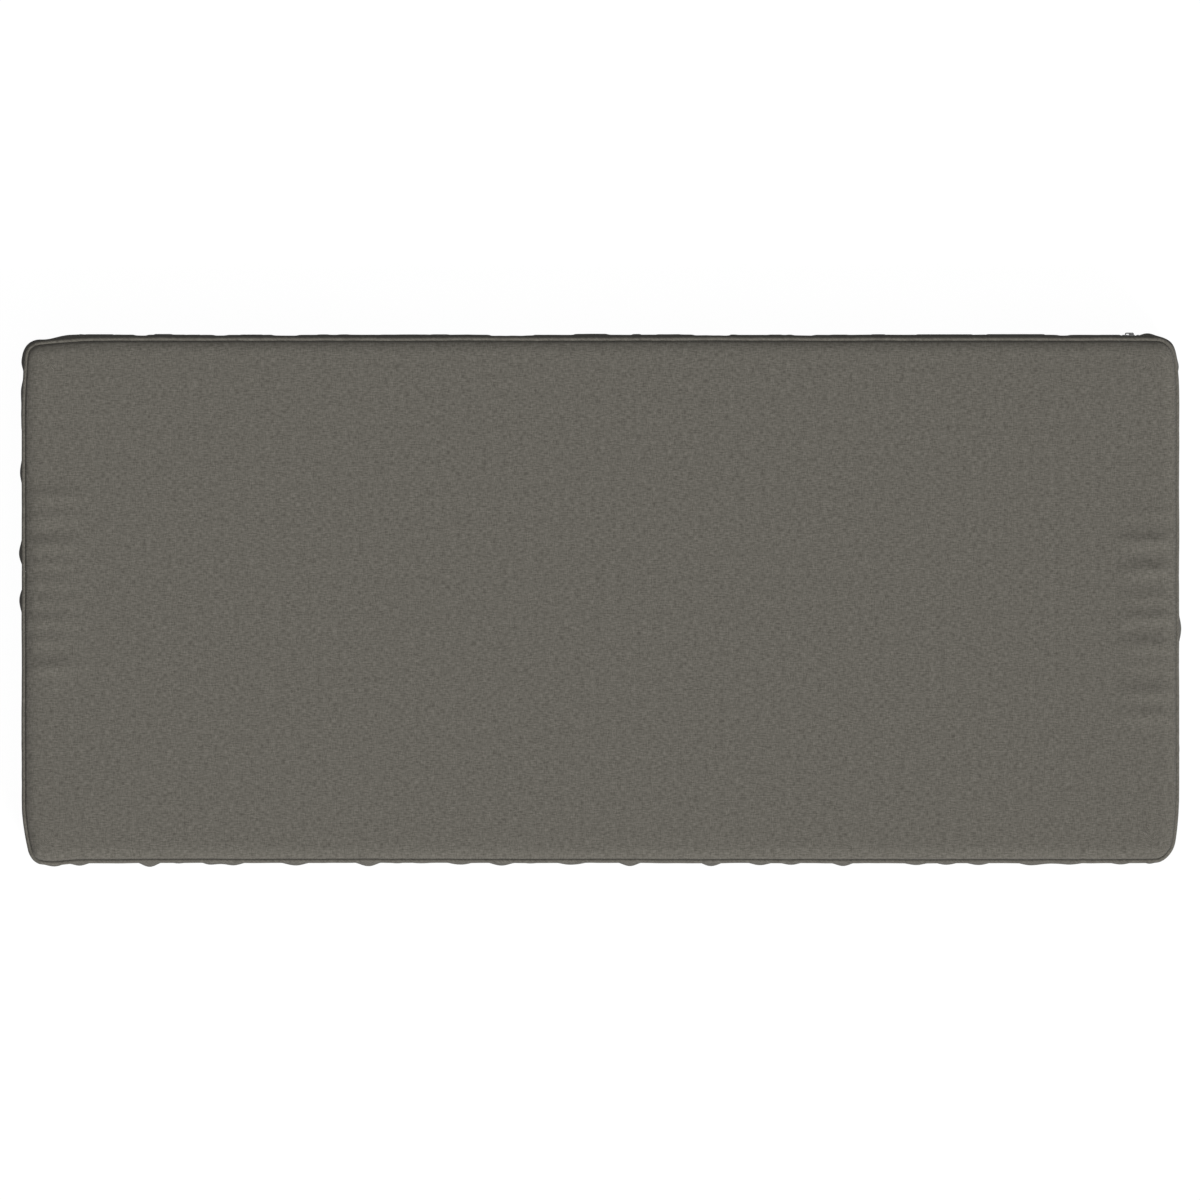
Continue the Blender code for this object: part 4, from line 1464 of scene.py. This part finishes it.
class CUSHION_OT_studio(bpy.types.Operator):
    """Sets up the plain floor, the soft light and the camera straight above"""

    bl_idname = "cushion.studio"
    bl_label = "Set up studio"

    def execute(self, context):
        scene = context.scene
        studio = scene.cushion_studio
        self.add_floor(studio)
        self.add_lamp(scene, "key_light", studio.sun, KEY_LIGHT)
        self.add_lamp(scene, "overhead_light", studio.overhead, OVERHEAD_LIGHT)
        self.add_sky(scene, studio)
        self.add_camera(scene)
        scene.view_settings.view_transform = "Standard"
        return {"FINISHED"}

    def add_floor(self, studio):
        deselect_all()
        bpy.ops.mesh.primitive_plane_add(size=FLOOR_SIZE, location=(0, 0, -FLOOR_DROP))
        floor = bpy.context.object
        floor.name = "floor"
        finish = Finish(
            "floor_paper",
            Base_Color=opaque([studio.floor_shade] * 3),
            Roughness=0.9,
            Specular_IOR_Level=0.0,
            Emission_Color=opaque((1, 1, 1)),
            Emission_Strength=studio.floor_glow,
        )
        floor.data.materials.append(finish.material)
        lit_by_floor = bpy.data.collections.new("lit_by_floor")
        lit_by_floor.objects.link(floor)
        floor.light_linking.receiver_collection = lit_by_floor

    def add_lamp(self, scene, name, strength, stand):
        """A far lamp that lights the cushion from where it stands."""
        light = bpy.data.lights.new(name, "SUN")
        light.energy = strength
        light.angle = math.radians(stand.spread)
        lamp = bpy.data.objects.new(name, light)
        scene.collection.objects.link(lamp)
        azimuth, elevation = math.radians(stand.azimuth), math.radians(stand.elevation)
        towards = Vector((
            math.sin(azimuth) * math.cos(elevation),
            -math.cos(azimuth) * math.cos(elevation),
            math.sin(elevation),
        ))
        lamp.rotation_mode = "QUATERNION"
        lamp.rotation_quaternion = towards.to_track_quat("Z", "Y")

    def add_sky(self, scene, studio):
        world = bpy.data.worlds.new("studio")
        world.use_nodes = True
        background = world.node_tree.nodes["Background"]
        background.inputs["Color"].default_value = opaque((1, 1, 1))
        background.inputs["Strength"].default_value = studio.sky
        scene.world = world

    def add_camera(self, scene):
        lens = bpy.data.cameras.new("camera")
        lens.sensor_width = 36
        lens.lens = lens.sensor_width * CAMERA_HEIGHT / (PHOTO_SIDE * PIXEL)
        lens.clip_end = 5 * CAMERA_HEIGHT
        camera = bpy.data.objects.new("camera", lens)
        camera.location.x = (PHOTO_SIDE / 2 - PHOTO_CENTRE[0]) * PIXEL
        camera.location.y = (PHOTO_CENTRE[1] - PHOTO_SIDE / 2) * PIXEL
        camera.location.z = UPPER_SEAM.height + CAMERA_HEIGHT
        scene.collection.objects.link(camera)
        scene.camera = camera


class CUSHION_PT_panel(bpy.types.Panel):
    """Lists the steps that make the cushion's looks, with their sizes and colours"""

    bl_idname = "CUSHION_PT_panel"
    bl_label = "Bench cushion"
    bl_space_type = "VIEW_3D"
    bl_region_type = "UI"
    bl_category = "Cushion"

    def draw(self, context):
        for settings in SETTINGS:
            group = getattr(context.scene, settings)
            box = self.layout.box()
            for name in group.bl_rna.properties.keys():
                if name not in ("rna_type", "name"):
                    box.prop(group, name)
        for step in STEPS:
            self.layout.operator(step.bl_idname)


SETTINGS = {
    "cushion_cover": CoverShape,
    "cushion_cloth": ClothFinish,
    "cushion_zip": ZipFinish,
    "cushion_studio": StudioLight,
}
STEPS = (CUSHION_OT_cover, CUSHION_OT_piping, CUSHION_OT_zip, CUSHION_OT_stitching, CUSHION_OT_studio)


def register():
    for name, group in SETTINGS.items():
        bpy.utils.register_class(group)
        setattr(bpy.types.Scene, name, bpy.props.PointerProperty(type=group))
    for step in STEPS:
        bpy.utils.register_class(step)
    bpy.utils.register_class(CUSHION_PT_panel)


def unregister():
    bpy.utils.unregister_class(CUSHION_PT_panel)
    for step in reversed(STEPS):
        bpy.utils.unregister_class(step)
    for name, group in SETTINGS.items():
        delattr(bpy.types.Scene, name)
        bpy.utils.unregister_class(group)


def main():
    register()
    bpy.ops.cushion.cover()
    bpy.ops.cushion.piping()
    bpy.ops.cushion.zip()
    bpy.ops.cushion.stitching()
    bpy.ops.cushion.studio()


if __name__ == "__main__":
    main()
